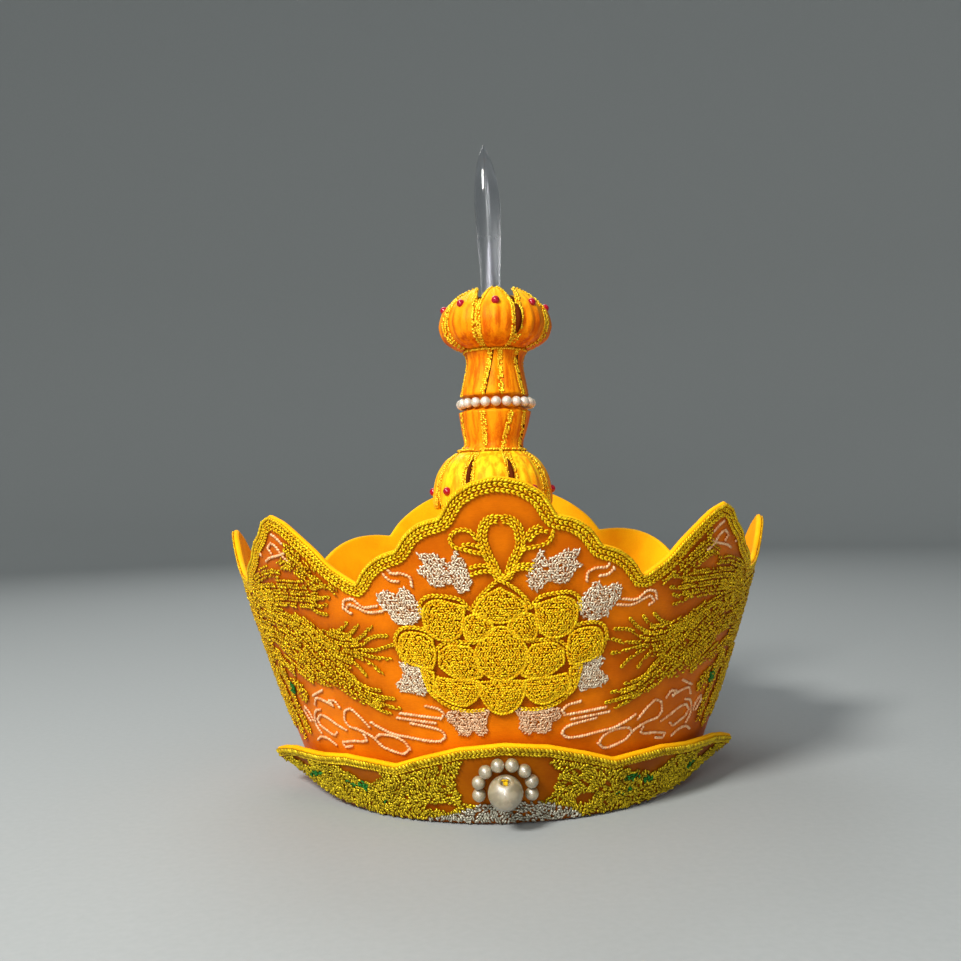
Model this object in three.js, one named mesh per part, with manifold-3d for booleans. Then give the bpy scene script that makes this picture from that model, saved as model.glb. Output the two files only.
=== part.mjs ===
// A seven-leafed Vairocana crown: a flared wall of padded leaves round a cap dome, a turned-up
// crescent flap at the front, and a cloth finial of two lotuses that carries a clear spike.
// Millimetres, +Z up. The front faces -Y, and angles run from the front towards +X.
import * as THREE from "three";
import { mergeVertices } from "three/addons/utils/BufferGeometryUtils.js";
import Module from "manifold-3d";

// Walls and clearances
const GAP = 0.3; // between neighbouring pieces
const BOARD = 2.4; // stiffened board with its yellow lining
const SATIN = 1.0; // embroidered satin panel on the board's face
const FOOT_CLEAR = 0.6; // the satin stops this far above the table
const CAP_CLOTH = 2.0;

// The crown's wall
const BASE_RADIUS = 90.5; // outer face at the table, at the sides
const RIM_RADIUS = 132.6; // outer face at RIM_HEIGHT, at the sides
const RIM_HEIGHT = 140;
const BELLY = 2.4; // how far the wall bows out of its straight flare
const PLAN_STRETCH = 5; // front and back lie this much further out than the sides
const OUTLINE_STEP = 8.2; // length of one step along the leaves' outline
const WALL_ROWS = 2;

// Gold braid
const BRAID_WIDTH = 4.6;
const BRAID_RISE = 1.4;
const BRAID_INSET = 0.3;

// Half of the leaves' outline, mirrored for the other half. Each row ends a run that bows out
// by its bulge.
const LEAF_OUTLINE = [
  { angle: 0, height: 135.2, bulge: 0 }, // tip of the front leaf
  { angle: 4.3, height: 133.4, bulge: 0.5 },
  { angle: 9.8, height: 121.2, bulge: 1.8 },
  { angle: 18, height: 109.5, bulge: 2.6 },
  { angle: 26.8, height: 96.8, bulge: 2.4 }, // valley
  { angle: 31.5, height: 102.8, bulge: 0.6 },
  { angle: 38.5, height: 116, bulge: 0.4 },
  { angle: 45, height: 123.4, bulge: 1 }, // tip of the fore side leaf
  { angle: 50.2, height: 116.2, bulge: 1.4 },
  { angle: 56.5, height: 106, bulge: 0.8 },
  { angle: 64, height: 95, bulge: 1.2 }, // valley
  { angle: 70.5, height: 96.8, bulge: 0.3 },
  { angle: 76, height: 102, bulge: 0.3 },
  { angle: 80, height: 109, bulge: 0.3 },
  { angle: 85, height: 116, bulge: 1 }, // tip of the middle side leaf
  { angle: 91, height: 105.5, bulge: 1.6 },
  { angle: 96, height: 98.5, bulge: 0.8 },
  { angle: 102, height: 91.5, bulge: 1.2 }, // valley
  { angle: 113, height: 100.5, bulge: 3.2 }, // tip of the rear side leaf
  { angle: 124, height: 91.5, bulge: 3.2 }, // valley
  { angle: 149.5, height: 106.8, bulge: 6.4 }, // shoulder of the back leaf
  { angle: 152.6, height: 114, bulge: 0.6 },
  { angle: 180, height: 135.2, bulge: 6.2 }, // tip of the back leaf
];
const BACK_TURN = 1.1; // degrees by which the back leaf sits round to the left

// Half of the turned-up flap: its outer face from the lower edge to the upper one.
const FLAP = [
  { angle: 0, lowRadius: 97, lowHeight: 0, topRadius: 108, topHeight: 34.1 },
  { angle: 9.3, lowRadius: 96.6, lowHeight: 0, topRadius: 107.4, topHeight: 32.4 },
  { angle: 17.8, lowRadius: 95.9, lowHeight: 0, topRadius: 106, topHeight: 28.2 },
  { angle: 24.3, lowRadius: 95.5, lowHeight: 0, topRadius: 105, topHeight: 24.2 },
  { angle: 30.5, lowRadius: 95, lowHeight: 0, topRadius: 104.4, topHeight: 24.8 },
  { angle: 38.7, lowRadius: 94.9, lowHeight: 0.6, topRadius: 104, topHeight: 25 },
  { angle: 47.8, lowRadius: 95.2, lowHeight: 2, topRadius: 104, topHeight: 23 },
  { angle: 54.5, lowRadius: 95.8, lowHeight: 3.9, topRadius: 104.4, topHeight: 22.2 },
  { angle: 61.5, lowRadius: 97.2, lowHeight: 6.2, topRadius: 105.4, topHeight: 21.3 },
  { angle: 67, lowRadius: 100.4, lowHeight: 8.8, topRadius: 107, topHeight: 19.4 },
  { angle: 71.5, lowRadius: 107.6, lowHeight: 12.6, topRadius: 108.8, topHeight: 17.4 },
];
const FLAP_BOARD = 2;
const FLAP_BRAID = 3.4; // width of the gold edging along the flap's upper edge

// The cap dome, a half ellipsoid
const CAP_RADIUS = 86.3;
const CAP_HEIGHT = 127;
const CAP_SIDES = 24;
const CAP_ROWS = 7;

// The finial, all of it round the crown's axis
const PETALS = 8;
const PETAL_CLOTH = 2.2;
const PETAL_CROWN = 1.7; // how far a petal's edges lie behind its middle
const PETAL_HALF_ANGLE = 21.8;
const PETAL_COLUMNS = 4;
const FLUTE_DEPTH = 0.045; // share of the radius
const NECK_SIDES = 24;
const PIN_RADIUS = 2.3;
const BORE_RADIUS = 2.65;
const PIN_TOP = 253;

// The lower lotus hangs over the dome, and the upper one closes like a bud. The width is a
// share of the petal's sector.
const LOWER_PETAL = [
  { height: 122.6, radius: 28.3, width: 0.12 },
  { height: 126, radius: 28.8, width: 0.66 },
  { height: 132, radius: 28.5, width: 0.97 },
  { height: 139, radius: 26.8, width: 1 },
  { height: 145.5, radius: 22.8, width: 1 },
  { height: 149.6, radius: 17.8, width: 1 },
];
const UPPER_PETAL = [
  { height: 199.2, radius: 15.2, width: 1 },
  { height: 204, radius: 24.8, width: 1 },
  { height: 212, radius: 27.2, width: 1 },
  { height: 219, radius: 24.6, width: 0.94 },
  { height: 224.5, radius: 19.4, width: 0.66 },
  { height: 228, radius: 13.4, width: 0.12 },
];
const LOWER_NECK = [
  { height: 149.9, radius: 16.8 },
  { height: 153.5, radius: 14.5 },
  { height: 160.5, radius: 16 },
  { height: 169.1, radius: 17.7 },
  { height: 171, radius: 13.95 },
  { height: 173.05, radius: 13.95 },
];
const UPPER_NECK = [
  { height: 173.35, radius: 13.95 },
  { height: 175.4, radius: 13.95 },
  { height: 177.2, radius: 16.9 },
  { height: 184, radius: 15.4 },
  { height: 193, radius: 13.9 },
  { height: 198.9, radius: 15.4 },
];
// The hand-sewn cloth wanders off the pin: x is how far its middle lies to one side.
const FINIAL_LEAN = [
  { height: 120, x: -2 },
  { height: 150, x: -1.9 },
  { height: 154, x: -0.6 },
  { height: 170, x: 0.4 },
  { height: 177, x: 0.2 },
  { height: 199, x: 1.3 },
  { height: 204, x: 1.7 },
  { height: 230, x: 1.7 },
];
const SPIKE = [
  { height: 199.5, radius: 4.6 },
  { height: 231.7, radius: 4.75 },
  { height: 252, radius: 5.7 },
  { height: 272, radius: 6.35 },
  { height: 282.5, radius: 5.5 },
  { height: 288.2, radius: 4.5 },
  { height: 294.2, radius: 2.8 },
];
const SPIKE_TIP = 300.6;
const SPIKE_BEND = 1.5; // how far the tip lies to the left
const SPIKE_SIDES = 16;

// Beads and pearls
const RED_BEAD = 2.15; // radius
const LOWER_BEAD_HEIGHT = 131.2;
const UPPER_BEAD_HEIGHT = 219.5;
const RING_PEARLS = 21;
const RING_PEARL = 2.42; // radius
const RING_RADIUS = 17.2;
const RING_HEIGHT = 173.2;
const RING_SHIFT = 1; // the loose ring hangs to the right
const BIG_PEARL = 6.8; // radius
const BIG_PEARL_HEIGHT = 18.1;
const SMALL_PEARL = 2.55; // radius
const SMALL_PEARLS = 8;
const SMALL_PEARL_STEP = 30; // degrees of the arc from one to the next
const SMALL_PEARL_ARC = 10.5; // radius of the arc
const SMALL_PEARL_DROP = 1; // the arc's centre lies this far below the big pearl's

const finish = {
  lining: { color: 0xf5b914, roughness: 0.75, metalness: 0 },
  satin: { color: 0xd9660a, roughness: 0.55, metalness: 0 },
  gold: { color: 0xd8ab1e, roughness: 0.4, metalness: 0.6 },
  petal: { color: 0xffa21a, roughness: 0.6, metalness: 0 },
  pearl: { color: 0xf1ebe0, roughness: 0.2, metalness: 0 },
  crystal: { color: 0xd5dcdf, roughness: 0.05, metalness: 0 },
  steel: { color: 0x9aa0a3, roughness: 0.3, metalness: 1 },
};

const wasm = await Module();
wasm.setup();
const crown = new THREE.Group();

function addPiece(name, geometry, material) {
  const mesh = new THREE.Mesh(geometry, new THREE.MeshStandardMaterial(material));
  mesh.name = name;
  crown.add(mesh);
  return mesh;
}

const radians = (degrees) => (degrees * Math.PI) / 180;

// A point at an angle, a height and a radius on the crown's oval plan.
function onPlan(angle, height, radius, stretch = PLAN_STRETCH) {
  const turn = radians(angle);
  return new THREE.Vector3(
    radius * Math.sin(turn),
    -(radius + stretch) * Math.cos(turn),
    height,
  );
}

// A closed solid between two grids of points. Columns run anticlockwise as seen from above,
// and rows run up; a ring's last column joins its first.
function solidBetween(outer, inner, ring) {
  const columns = outer.length;
  const rows = outer[0].length;
  const points = [...outer, ...inner].flat();
  const outside = (c, r) => (c % columns) * rows + r;
  const inside = (c, r) => columns * rows + outside(c, r);
  const faces = [];
  const quad = (a, b, c, d) => faces.push(a, b, c, a, c, d);
  const spans = ring ? columns : columns - 1;
  for (let c = 0; c < spans; c++) {
    for (let r = 0; r < rows - 1; r++) {
      quad(outside(c, r), outside(c + 1, r), outside(c + 1, r + 1), outside(c, r + 1));
      quad(inside(c + 1, r), inside(c, r), inside(c, r + 1), inside(c + 1, r + 1));
    }
    quad(inside(c, 0), inside(c + 1, 0), outside(c + 1, 0), outside(c, 0));
    quad(outside(c, rows - 1), outside(c + 1, rows - 1), inside(c + 1, rows - 1), inside(c, rows - 1));
  }
  if (!ring) {
    const last = columns - 1;
    for (let r = 0; r < rows - 1; r++) {
      quad(inside(0, r), outside(0, r), outside(0, r + 1), inside(0, r + 1));
      quad(outside(last, r), inside(last, r), inside(last, r + 1), outside(last, r + 1));
    }
  }
  const geometry = new THREE.BufferGeometry().setFromPoints(points);
  geometry.setIndex(faces);
  geometry.computeVertexNormals();
  return geometry;
}

// The wall's outer face at a height, at the crown's sides.
function wallRadius(height) {
  const share = height / RIM_HEIGHT;
  const flare = BASE_RADIUS + (RIM_RADIUS - BASE_RADIUS) * share;
  return flare + BELLY * 4 * share * (1 - share);
}

const onWall = (angle, height, out) => onPlan(angle, height, wallRadius(height) + out);

// The leaves' outline once round, as { angle, height }: arcs between the rows of the table.
function leafOutline() {
  const half = [{ ...LEAF_OUTLINE[0] }];
  for (let i = 1; i < LEAF_OUTLINE.length; i++) {
    const from = LEAF_OUTLINE[i - 1];
    const to = LEAF_OUTLINE[i];
    const perDegree = radians(wallRadius((from.height + to.height) / 2) + PLAN_STRETCH / 2);
    const run = (to.angle - from.angle) * perDegree;
    const rise = to.height - from.height;
    const length = Math.hypot(run, rise);
    const steps = Math.max(1, Math.round(length / OUTLINE_STEP));
    for (let s = 1; s <= steps; s++) {
      const share = s / steps;
      const bow = (to.bulge * 4 * share * (1 - share)) / length;
      half.push({
        angle: from.angle + (run * share - rise * bow) / perDegree,
        height: from.height + rise * share + run * bow,
      });
    }
  }
  const mirrored = half.slice(1, -1).reverse();
  const whole = [...half, ...mirrored.map(({ angle, height }) => ({ angle: 360 - angle, height }))];
  return whole.map(({ angle, height }) => ({
    angle: angle + BACK_TURN * Math.max(0, -Math.cos(radians(angle))),
    height,
  }));
}

// A layer of the wall between two offsets from its outer face.
function wallLayer(outline, foot, top, outerOffset, innerOffset) {
  const column = (point, offset) => {
    const heights = Array.from({ length: WALL_ROWS + 1 }, (_, r) =>
      THREE.MathUtils.lerp(foot, point.height - top, r / WALL_ROWS),
    );
    return heights.map((height) => onWall(point.angle, height, offset));
  };
  return solidBetween(
    outline.map((point) => column(point, outerOffset)),
    outline.map((point) => column(point, innerOffset)),
    true,
  );
}

// Points a distance below an outline, measured square to it, on the unrolled wall.
function offsetOutline(outline, distance, perDegree) {
  const count = outline.length;
  const side = (a, b) => {
    const turn = ((b.angle - a.angle + 540) % 360) - 180;
    return new THREE.Vector2(b.height - a.height, -turn * perDegree).normalize();
  };
  return outline.map((point, i) => {
    const before = side(outline[(i + count - 1) % count], point);
    const after = side(point, outline[(i + 1) % count]);
    const mitre = before.add(after).normalize();
    const reach = distance / Math.max(0.6, mitre.dot(after));
    return {
      angle: point.angle + (mitre.x * reach) / perDegree,
      height: point.height + mitre.y * reach,
    };
  });
}

function wallBraid(outline) {
  const perDegree = radians(125);
  const upper = offsetOutline(outline, BRAID_INSET, perDegree);
  const lower = offsetOutline(outline, BRAID_INSET + BRAID_WIDTH, perDegree);
  const face = (out) =>
    upper.map((point, i) => [
      onWall(lower[i].angle, lower[i].height, out),
      onWall(point.angle, point.height, out),
    ]);
  return solidBetween(face(GAP + BRAID_RISE), face(GAP), true);
}

// The flap's table from one tip to the other, with a row halfway between each two.
function flapRows() {
  const rows = [...FLAP.slice(1).reverse().map((row) => ({ ...row, angle: -row.angle })), ...FLAP];
  const between = (a, b) => ({
    angle: (a.angle + b.angle) / 2,
    lowRadius: (a.lowRadius + b.lowRadius) / 2,
    lowHeight: (a.lowHeight + b.lowHeight) / 2,
    topRadius: (a.topRadius + b.topRadius) / 2,
    topHeight: (a.topHeight + b.topHeight) / 2,
  });
  return rows.flatMap((row, i) => (i === 0 ? [row] : [between(rows[i - 1], row), row]));
}

// A grid over the flap, a depth behind its face. Share 0 is the lower edge and 1 the upper one.
function flapGrid(shares, depth) {
  return flapRows().map((row) => {
    const rise = row.topHeight - row.lowHeight;
    const slant = Math.hypot(1, (row.topRadius - row.lowRadius) / rise);
    return shares(rise).map((share) =>
      onPlan(
        row.angle,
        THREE.MathUtils.lerp(row.lowHeight, row.topHeight, share),
        THREE.MathUtils.lerp(row.lowRadius, row.topRadius, share) - depth * slant,
      ),
    );
  });
}

function flapLayer(outerDepth, innerDepth, foot, top) {
  const shares = (rise) => {
    const first = foot / rise;
    const last = 1 - top / rise;
    return [first, (first + last) / 2, last];
  };
  return solidBetween(flapGrid(shares, outerDepth), flapGrid(shares, innerDepth), false);
}

function flapBraid() {
  const shares = (rise) => [1 - Math.min(FLAP_BRAID, rise * 0.8) / rise, 1 - BRAID_INSET / rise];
  return solidBetween(flapGrid(shares, -GAP - BRAID_RISE), flapGrid(shares, -GAP), false);
}

// The cap: an inner and an outer half ellipse turned about the axis, then stretched to the plan.
function capDome() {
  const arc = (inset) =>
    Array.from({ length: CAP_ROWS + 1 }, (_, i) => {
      const turn = (Math.PI / 2) * (i / CAP_ROWS);
      const last = i === CAP_ROWS;
      const radius = last ? 0 : (CAP_RADIUS - inset) * Math.cos(turn);
      return new THREE.Vector2(radius, (CAP_HEIGHT - inset) * Math.sin(turn));
    });
  const profile = [...arc(CAP_CLOTH).reverse(), ...arc(0)];
  const geometry = closedLathe(profile, CAP_SIDES);
  const place = geometry.getAttribute("position");
  for (let i = 0; i < place.count; i++) {
    const stretch = 1 + (PLAN_STRETCH / CAP_RADIUS) * (1 - place.getZ(i) / CAP_HEIGHT);
    place.setY(i, place.getY(i) * stretch);
  }
  geometry.computeVertexNormals();
  return geometry;
}

// A lathe turned about +Z, closed along its seam.
function closedLathe(profile, sides) {
  const geometry = new THREE.LatheGeometry(profile, sides).rotateX(Math.PI / 2);
  geometry.deleteAttribute("normal");
  geometry.deleteAttribute("uv");
  const merged = mergeVertices(geometry, 1e-3);
  merged.computeVertexNormals();
  return merged;
}

function asManifold(geometry) {
  const bare = geometry.clone();
  bare.deleteAttribute("normal");
  bare.deleteAttribute("uv");
  const merged = mergeVertices(bare, 1e-3);
  return new wasm.Manifold(
    new wasm.Mesh({
      numProp: 3,
      vertProperties: merged.getAttribute("position").array,
      triVerts: new Uint32Array(merged.index.array),
    }),
  );
}

function asGeometry(manifold) {
  const { vertProperties, triVerts } = manifold.getMesh();
  const geometry = new THREE.BufferGeometry();
  geometry.setAttribute("position", new THREE.BufferAttribute(vertProperties, 3));
  geometry.setIndex(new THREE.BufferAttribute(triVerts, 1));
  geometry.computeVertexNormals();
  return geometry;
}

// A column of a table, read at a height between its rows.
function readAt(table, height, column) {
  const i = Math.max(1, table.findIndex((row) => row.height >= height));
  const low = table[i - 1];
  const high = table[i];
  return THREE.MathUtils.mapLinear(height, low.height, high.height, low[column], high[column]);
}

// A point of the finial's cloth.
function onFinial(angle, height, radius) {
  const point = onPlan(angle, height, radius, 0);
  point.x += readAt(FINIAL_LEAN, height, "x");
  return point;
}

// One padded petal at an angle, with its red bead sewn on near the tip.
function petal(table, angle, beadHeight) {
  const face = (depth) =>
    Array.from({ length: PETAL_COLUMNS + 1 }, (_, c) => {
      const across = (2 * c) / PETAL_COLUMNS - 1;
      return table.map((row) =>
        onFinial(
          angle + across * row.width * PETAL_HALF_ANGLE,
          row.height,
          row.radius - PETAL_CROWN * (across * row.width) ** 2 - depth,
        ),
      );
    });
  const cloth = asManifold(solidBetween(face(0), face(PETAL_CLOTH), false));
  const bead = new THREE.SphereGeometry(RED_BEAD, 6, 4);
  const seat = onFinial(angle, beadHeight, readAt(table, beadHeight, "radius") + 0.2);
  bead.translate(seat.x, seat.y, seat.z);
  return asGeometry(cloth.add(asManifold(bead)));
}

// A padded neck with upright flutes, bored for the pin.
function neck(table) {
  const turns = Array.from({ length: NECK_SIDES }, (_, i) => (360 * i) / NECK_SIDES);
  const flute = (angle) => 1 + FLUTE_DEPTH * (Math.cos(radians(PETALS * angle)) - 1);
  const outer = turns.map((angle) =>
    table.map((row) => onFinial(angle, row.height, row.radius * flute(angle))),
  );
  const inner = turns.map((angle) =>
    table.map((row) => onPlan(angle, row.height, BORE_RADIUS, 0)),
  );
  return solidBetween(outer, inner, true);
}

// The rod, bored for the pin. It bends a little to the left above the bore.
function spike() {
  const boreTop = PIN_TOP + GAP;
  const profile = [
    new THREE.Vector2(0, boreTop),
    new THREE.Vector2(BORE_RADIUS, boreTop),
    new THREE.Vector2(BORE_RADIUS, SPIKE[0].height),
    ...SPIKE.map((row) => new THREE.Vector2(row.radius, row.height)),
    new THREE.Vector2(0, SPIKE_TIP),
  ];
  const geometry = closedLathe(profile, SPIKE_SIDES);
  const place = geometry.getAttribute("position");
  for (let i = 0; i < place.count; i++) {
    const share = Math.max(0, (place.getZ(i) - boreTop) / (SPIKE_TIP - boreTop));
    place.setX(i, place.getX(i) - SPIKE_BEND * share ** 1.3);
  }
  geometry.computeVertexNormals();
  return geometry;
}

function pin() {
  const foot = CAP_HEIGHT + GAP;
  const rod = new THREE.CylinderGeometry(PIN_RADIUS, PIN_RADIUS, PIN_TOP - foot, 12);
  return rod.rotateX(Math.PI / 2).translate(0, 0, (PIN_TOP + foot) / 2);
}

function addPearl(name, radius, sides, rings, place) {
  const pearl = addPiece(name, new THREE.SphereGeometry(radius, sides, rings), finish.pearl);
  pearl.position.copy(place);
}

function addFlapPearls() {
  const front = FLAP[0];
  const lean = Math.atan2(front.topRadius - front.lowRadius, front.topHeight - front.lowHeight);
  const share = BIG_PEARL_HEIGHT / front.topHeight;
  const foot = onPlan(0, BIG_PEARL_HEIGHT, THREE.MathUtils.lerp(front.lowRadius, front.topRadius, share));
  const up = new THREE.Vector3(0, -Math.sin(lean), Math.cos(lean));
  const out = new THREE.Vector3(0, -Math.cos(lean), -Math.sin(lean));
  const bend = -foot.y; // the flap's radius where the pearls sit
  const seat = (across, rise, radius) =>
    foot
      .clone()
      .add(new THREE.Vector3(across, 0, 0))
      .addScaledVector(up, rise)
      .addScaledVector(out, radius + GAP - across ** 2 / (2 * bend));
  addPearl("flap_pearl_big", BIG_PEARL, 14, 9, seat(0, 0, BIG_PEARL));
  for (let i = 0; i < SMALL_PEARLS; i++) {
    const turn = radians(90 + (i - (SMALL_PEARLS - 1) / 2) * SMALL_PEARL_STEP);
    const across = SMALL_PEARL_ARC * Math.cos(turn);
    const rise = SMALL_PEARL_ARC * Math.sin(turn) - SMALL_PEARL_DROP;
    addPearl(`flap_pearl_${i + 1}`, SMALL_PEARL, 8, 5, seat(across, rise, SMALL_PEARL));
  }
}

function addRingPearls() {
  for (let i = 0; i < RING_PEARLS; i++) {
    const place = onPlan((360 * i) / RING_PEARLS, RING_HEIGHT, RING_RADIUS, 0);
    place.x += RING_SHIFT;
    addPearl(`ring_pearl_${i + 1}`, RING_PEARL, 8, 5, place);
  }
}

function addPetals(name, table, beadHeight) {
  for (let i = 0; i < PETALS; i++) {
    addPiece(`${name}_${i + 1}`, petal(table, (360 * i) / PETALS, beadHeight), finish.petal);
  }
}

const outline = leafOutline();
addPiece("wall_lining", wallLayer(outline, 0, 0, -SATIN - GAP, -SATIN - GAP - BOARD), finish.lining);
addPiece("wall_panel", wallLayer(outline, FOOT_CLEAR, GAP, 0, -SATIN), finish.satin);
addPiece("wall_braid", wallBraid(outline), finish.gold);
addPiece("flap_lining", flapLayer(SATIN + GAP, SATIN + GAP + FLAP_BOARD, 0, 0), finish.lining);
addPiece("flap_panel", flapLayer(0, SATIN, FOOT_CLEAR, GAP), finish.satin);
addPiece("flap_braid", flapBraid(), finish.gold);
addPiece("cap_dome", capDome(), finish.lining);
addPiece("finial_pin", pin(), finish.steel);
addPiece("neck_lower", neck(LOWER_NECK), finish.petal);
addPiece("neck_upper", neck(UPPER_NECK), finish.petal);
addPiece("spike", spike(), finish.crystal);
addPetals("lotus_lower_petal", LOWER_PETAL, LOWER_BEAD_HEIGHT);
addPetals("lotus_upper_petal", UPPER_PETAL, UPPER_BEAD_HEIGHT);
addRingPearls();
addFlapPearls();

export default crown;
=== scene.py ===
"""The looks of a crown of padded, embroidered cloth leaves with a turned-up flap and a lotus
finial. Everything is worked in millimetres and turned into metres as a mesh is made. Charts for
the embroidery are drawn on the unrolled wall: across from the front, then up from the table."""

import math

import bmesh
import bpy
import numpy as np
from mathutils import Matrix, Vector


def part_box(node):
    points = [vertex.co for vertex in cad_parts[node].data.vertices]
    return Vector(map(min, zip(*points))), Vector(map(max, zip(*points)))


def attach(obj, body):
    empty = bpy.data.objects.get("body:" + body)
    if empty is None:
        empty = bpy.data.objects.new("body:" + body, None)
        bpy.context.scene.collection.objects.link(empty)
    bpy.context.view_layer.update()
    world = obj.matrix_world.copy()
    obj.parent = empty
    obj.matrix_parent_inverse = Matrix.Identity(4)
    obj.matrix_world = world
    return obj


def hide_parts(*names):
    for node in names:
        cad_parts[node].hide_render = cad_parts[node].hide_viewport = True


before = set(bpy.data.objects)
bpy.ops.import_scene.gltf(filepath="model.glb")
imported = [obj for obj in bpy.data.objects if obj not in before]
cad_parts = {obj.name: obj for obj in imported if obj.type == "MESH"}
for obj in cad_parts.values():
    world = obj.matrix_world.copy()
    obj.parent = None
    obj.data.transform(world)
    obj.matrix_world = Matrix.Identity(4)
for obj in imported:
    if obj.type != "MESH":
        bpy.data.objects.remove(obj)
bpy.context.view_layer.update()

MM = 0.001
BODY = "root"
dice = np.random.default_rng(11)


# ---- reading the frame


def corners(node):
    """A CAD node's vertices in millimetres, each place once."""
    places = np.array([v.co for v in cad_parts[node].data.vertices]) / MM
    return np.unique(places.round(3), axis=0)


def box(node):
    """A CAD node's lowest and highest corner in millimetres."""
    low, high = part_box(node)
    return np.array(low) / MM, np.array(high) / MM


def ball(node):
    """The middle and the radius of a CAD pearl."""
    low, high = box(node)
    return (low + high) / 2, (high[2] - low[2]) / 2


CAP_SIDE, CAP_FRONT, CAP_TOP = box("cap_dome")[1]
STRETCH = CAP_FRONT - CAP_SIDE  # the oval plan reaches this much further front and back


def on_oval(points):
    """The angle from the front, and the radius at the side, of points on the oval plan."""
    x, y = points[:, 0], points[:, 1]
    radius = np.hypot(x, y)
    for _ in range(40):
        radius = np.hypot(x, y * radius / (radius + STRETCH))
    return np.arctan2(x / radius, -y / (radius + STRETCH)), radius


SAME_COLUMN = 4e-4  # radians between vertices of one upright column, at most


def columns(node):
    """A CAD layer's upright columns in order of angle: angle, lower and upper outer corners."""
    points = corners(node)
    angle, radius = on_oval(points)
    order = np.argsort(angle)
    splits = np.nonzero(np.diff(angle[order]) > SAME_COLUMN)[0] + 1
    rows = []
    for group in np.split(order, splits):
        by_height = group[np.argsort(points[group, 2])]
        low = max(by_height[:2], key=lambda i: radius[i])
        high = max(by_height[-2:], key=lambda i: radius[i])
        rows.append((angle[high], points[low, 2], radius[low], points[high, 2], radius[high]))
    return np.array(rows)


def wall_curve():
    """The outer face's radius as a polynomial of height."""
    points = corners("wall_panel")
    _, radius = on_oval(points)
    fit = np.polyfit(points[:, 2], radius, 2)
    outer = radius > np.polyval(fit, points[:, 2])
    return np.polyfit(points[outer, 2], radius[outer], 2)


WALL = wall_curve()
LINING = columns("wall_lining")
FLAP = columns("flap_panel")
CHART_RADIUS = 115.0  # an angle times this is a distance across a chart
ROUND = 2 * math.pi * CHART_RADIUS


def spots(x, y, z):
    """Places from their coordinates, any of which may be one number for all."""
    return np.stack(np.broadcast_arrays(x, y, z), -1)


def plan(angle, radius, height):
    """Points of the oval plan, in millimetres."""
    return spots(radius * np.sin(angle), -(radius + STRETCH) * np.cos(angle), height)


def on_wall(chart, out=0.0):
    """Chart points (across, up) on the wall, lifted off its face."""
    chart = np.asarray(chart, float)
    angle, height = chart[..., 0] / CHART_RADIUS, chart[..., 1]
    slope = np.polyval(np.polyder(WALL), height)
    level = np.hypot(1, slope)
    return plan(angle, np.polyval(WALL, height) + out / level, height - out * slope / level)


def flap_edges(angle):
    """The height and radius of the flap's lower edge, then of its upper one, at an angle."""
    return (np.interp(angle, FLAP[:, 0], FLAP[:, i]) for i in range(1, 5))


def on_flap(chart, out=0.0):
    """Chart points (across, down from the upper edge) on the flap, lifted off its face."""
    chart = np.asarray(chart, float)
    angle, drop = chart[..., 0] / CHART_RADIUS, chart[..., 1]
    low_z, low_r, top_z, top_r = flap_edges(angle)
    length = np.hypot(top_z - low_z, top_r - low_r)
    share = 1 - drop / length
    lean_r, lean_z = (top_z - low_z) / length, -(top_r - low_r) / length
    radius = low_r + (top_r - low_r) * share + out * lean_r
    return plan(angle, radius, low_z + (top_z - low_z) * share + out * lean_z)


def flap_length(across):
    """The flap's length from edge to edge at distances across its chart."""
    low_z, low_r, top_z, top_r = flap_edges(np.asarray(across) / CHART_RADIUS)
    return np.hypot(top_z - low_z, top_r - low_r)


# ---- drawing lines


def drawn(points, step, closed=False, corner=50):
    """A line through points, with a point every step. Only bends over corner degrees are sharp."""
    p = np.asarray(points, float)
    if closed:
        before, after = np.roll(p, 1, 0), np.roll(p, -1, 0)
    else:
        before, after = np.vstack([p[:1], p[:-1]]), np.vstack([p[1:], p[-1:]])
    into, out = p - before, after - p
    turn = np.abs(np.arctan2(into[:, 0] * out[:, 1] - into[:, 1] * out[:, 0], (into * out).sum(1)))
    sharp = (turn > math.radians(corner))[:, None]
    leave = np.where(sharp, out, (after - before) / 2)
    arrive = np.where(sharp, into, (after - before) / 2)
    if closed:
        starts, ends, leaving, arriving = p, after, leave, np.roll(arrive, -1, 0)
    else:
        leave[0], arrive[-1] = out[0], into[-1]
        starts, ends, leaving, arriving = p[:-1], p[1:], leave[:-1], arrive[1:]
    t = np.linspace(0, 1, 10, endpoint=False)[None, :, None]
    fine = (
        (2 * t**3 - 3 * t**2 + 1) * starts[:, None]
        + (t**3 - 2 * t**2 + t) * leaving[:, None]
        + (3 * t**2 - 2 * t**3) * ends[:, None]
        + (t**3 - t**2) * arriving[:, None]
    ).reshape(-1, p.shape[1])
    fine = np.vstack([fine, fine[:1] if closed else p[-1:]])
    return spaced(fine, step)


def spaced(line, step):
    """The same line with even steps."""
    run = np.concatenate([[0], np.cumsum(np.linalg.norm(np.diff(line, axis=0), axis=1))])
    marks = np.linspace(0, run[-1], max(2, round(run[-1] / step) + 1))
    return np.stack([np.interp(marks, run, line[:, i]) for i in range(line.shape[1])], 1)


def headings(line):
    """The unit direction at each point of a line."""
    ahead = np.gradient(line, axis=0)
    return ahead / np.maximum(np.linalg.norm(ahead, axis=1, keepdims=True), 1e-9)


def beside(line, distance):
    """A line moved to its left, in a chart."""
    ahead = headings(line)
    distance = np.broadcast_to(np.asarray(distance, float), len(line))
    return line + np.stack([-ahead[:, 1], ahead[:, 0]], 1) * distance[:, None]


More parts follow.
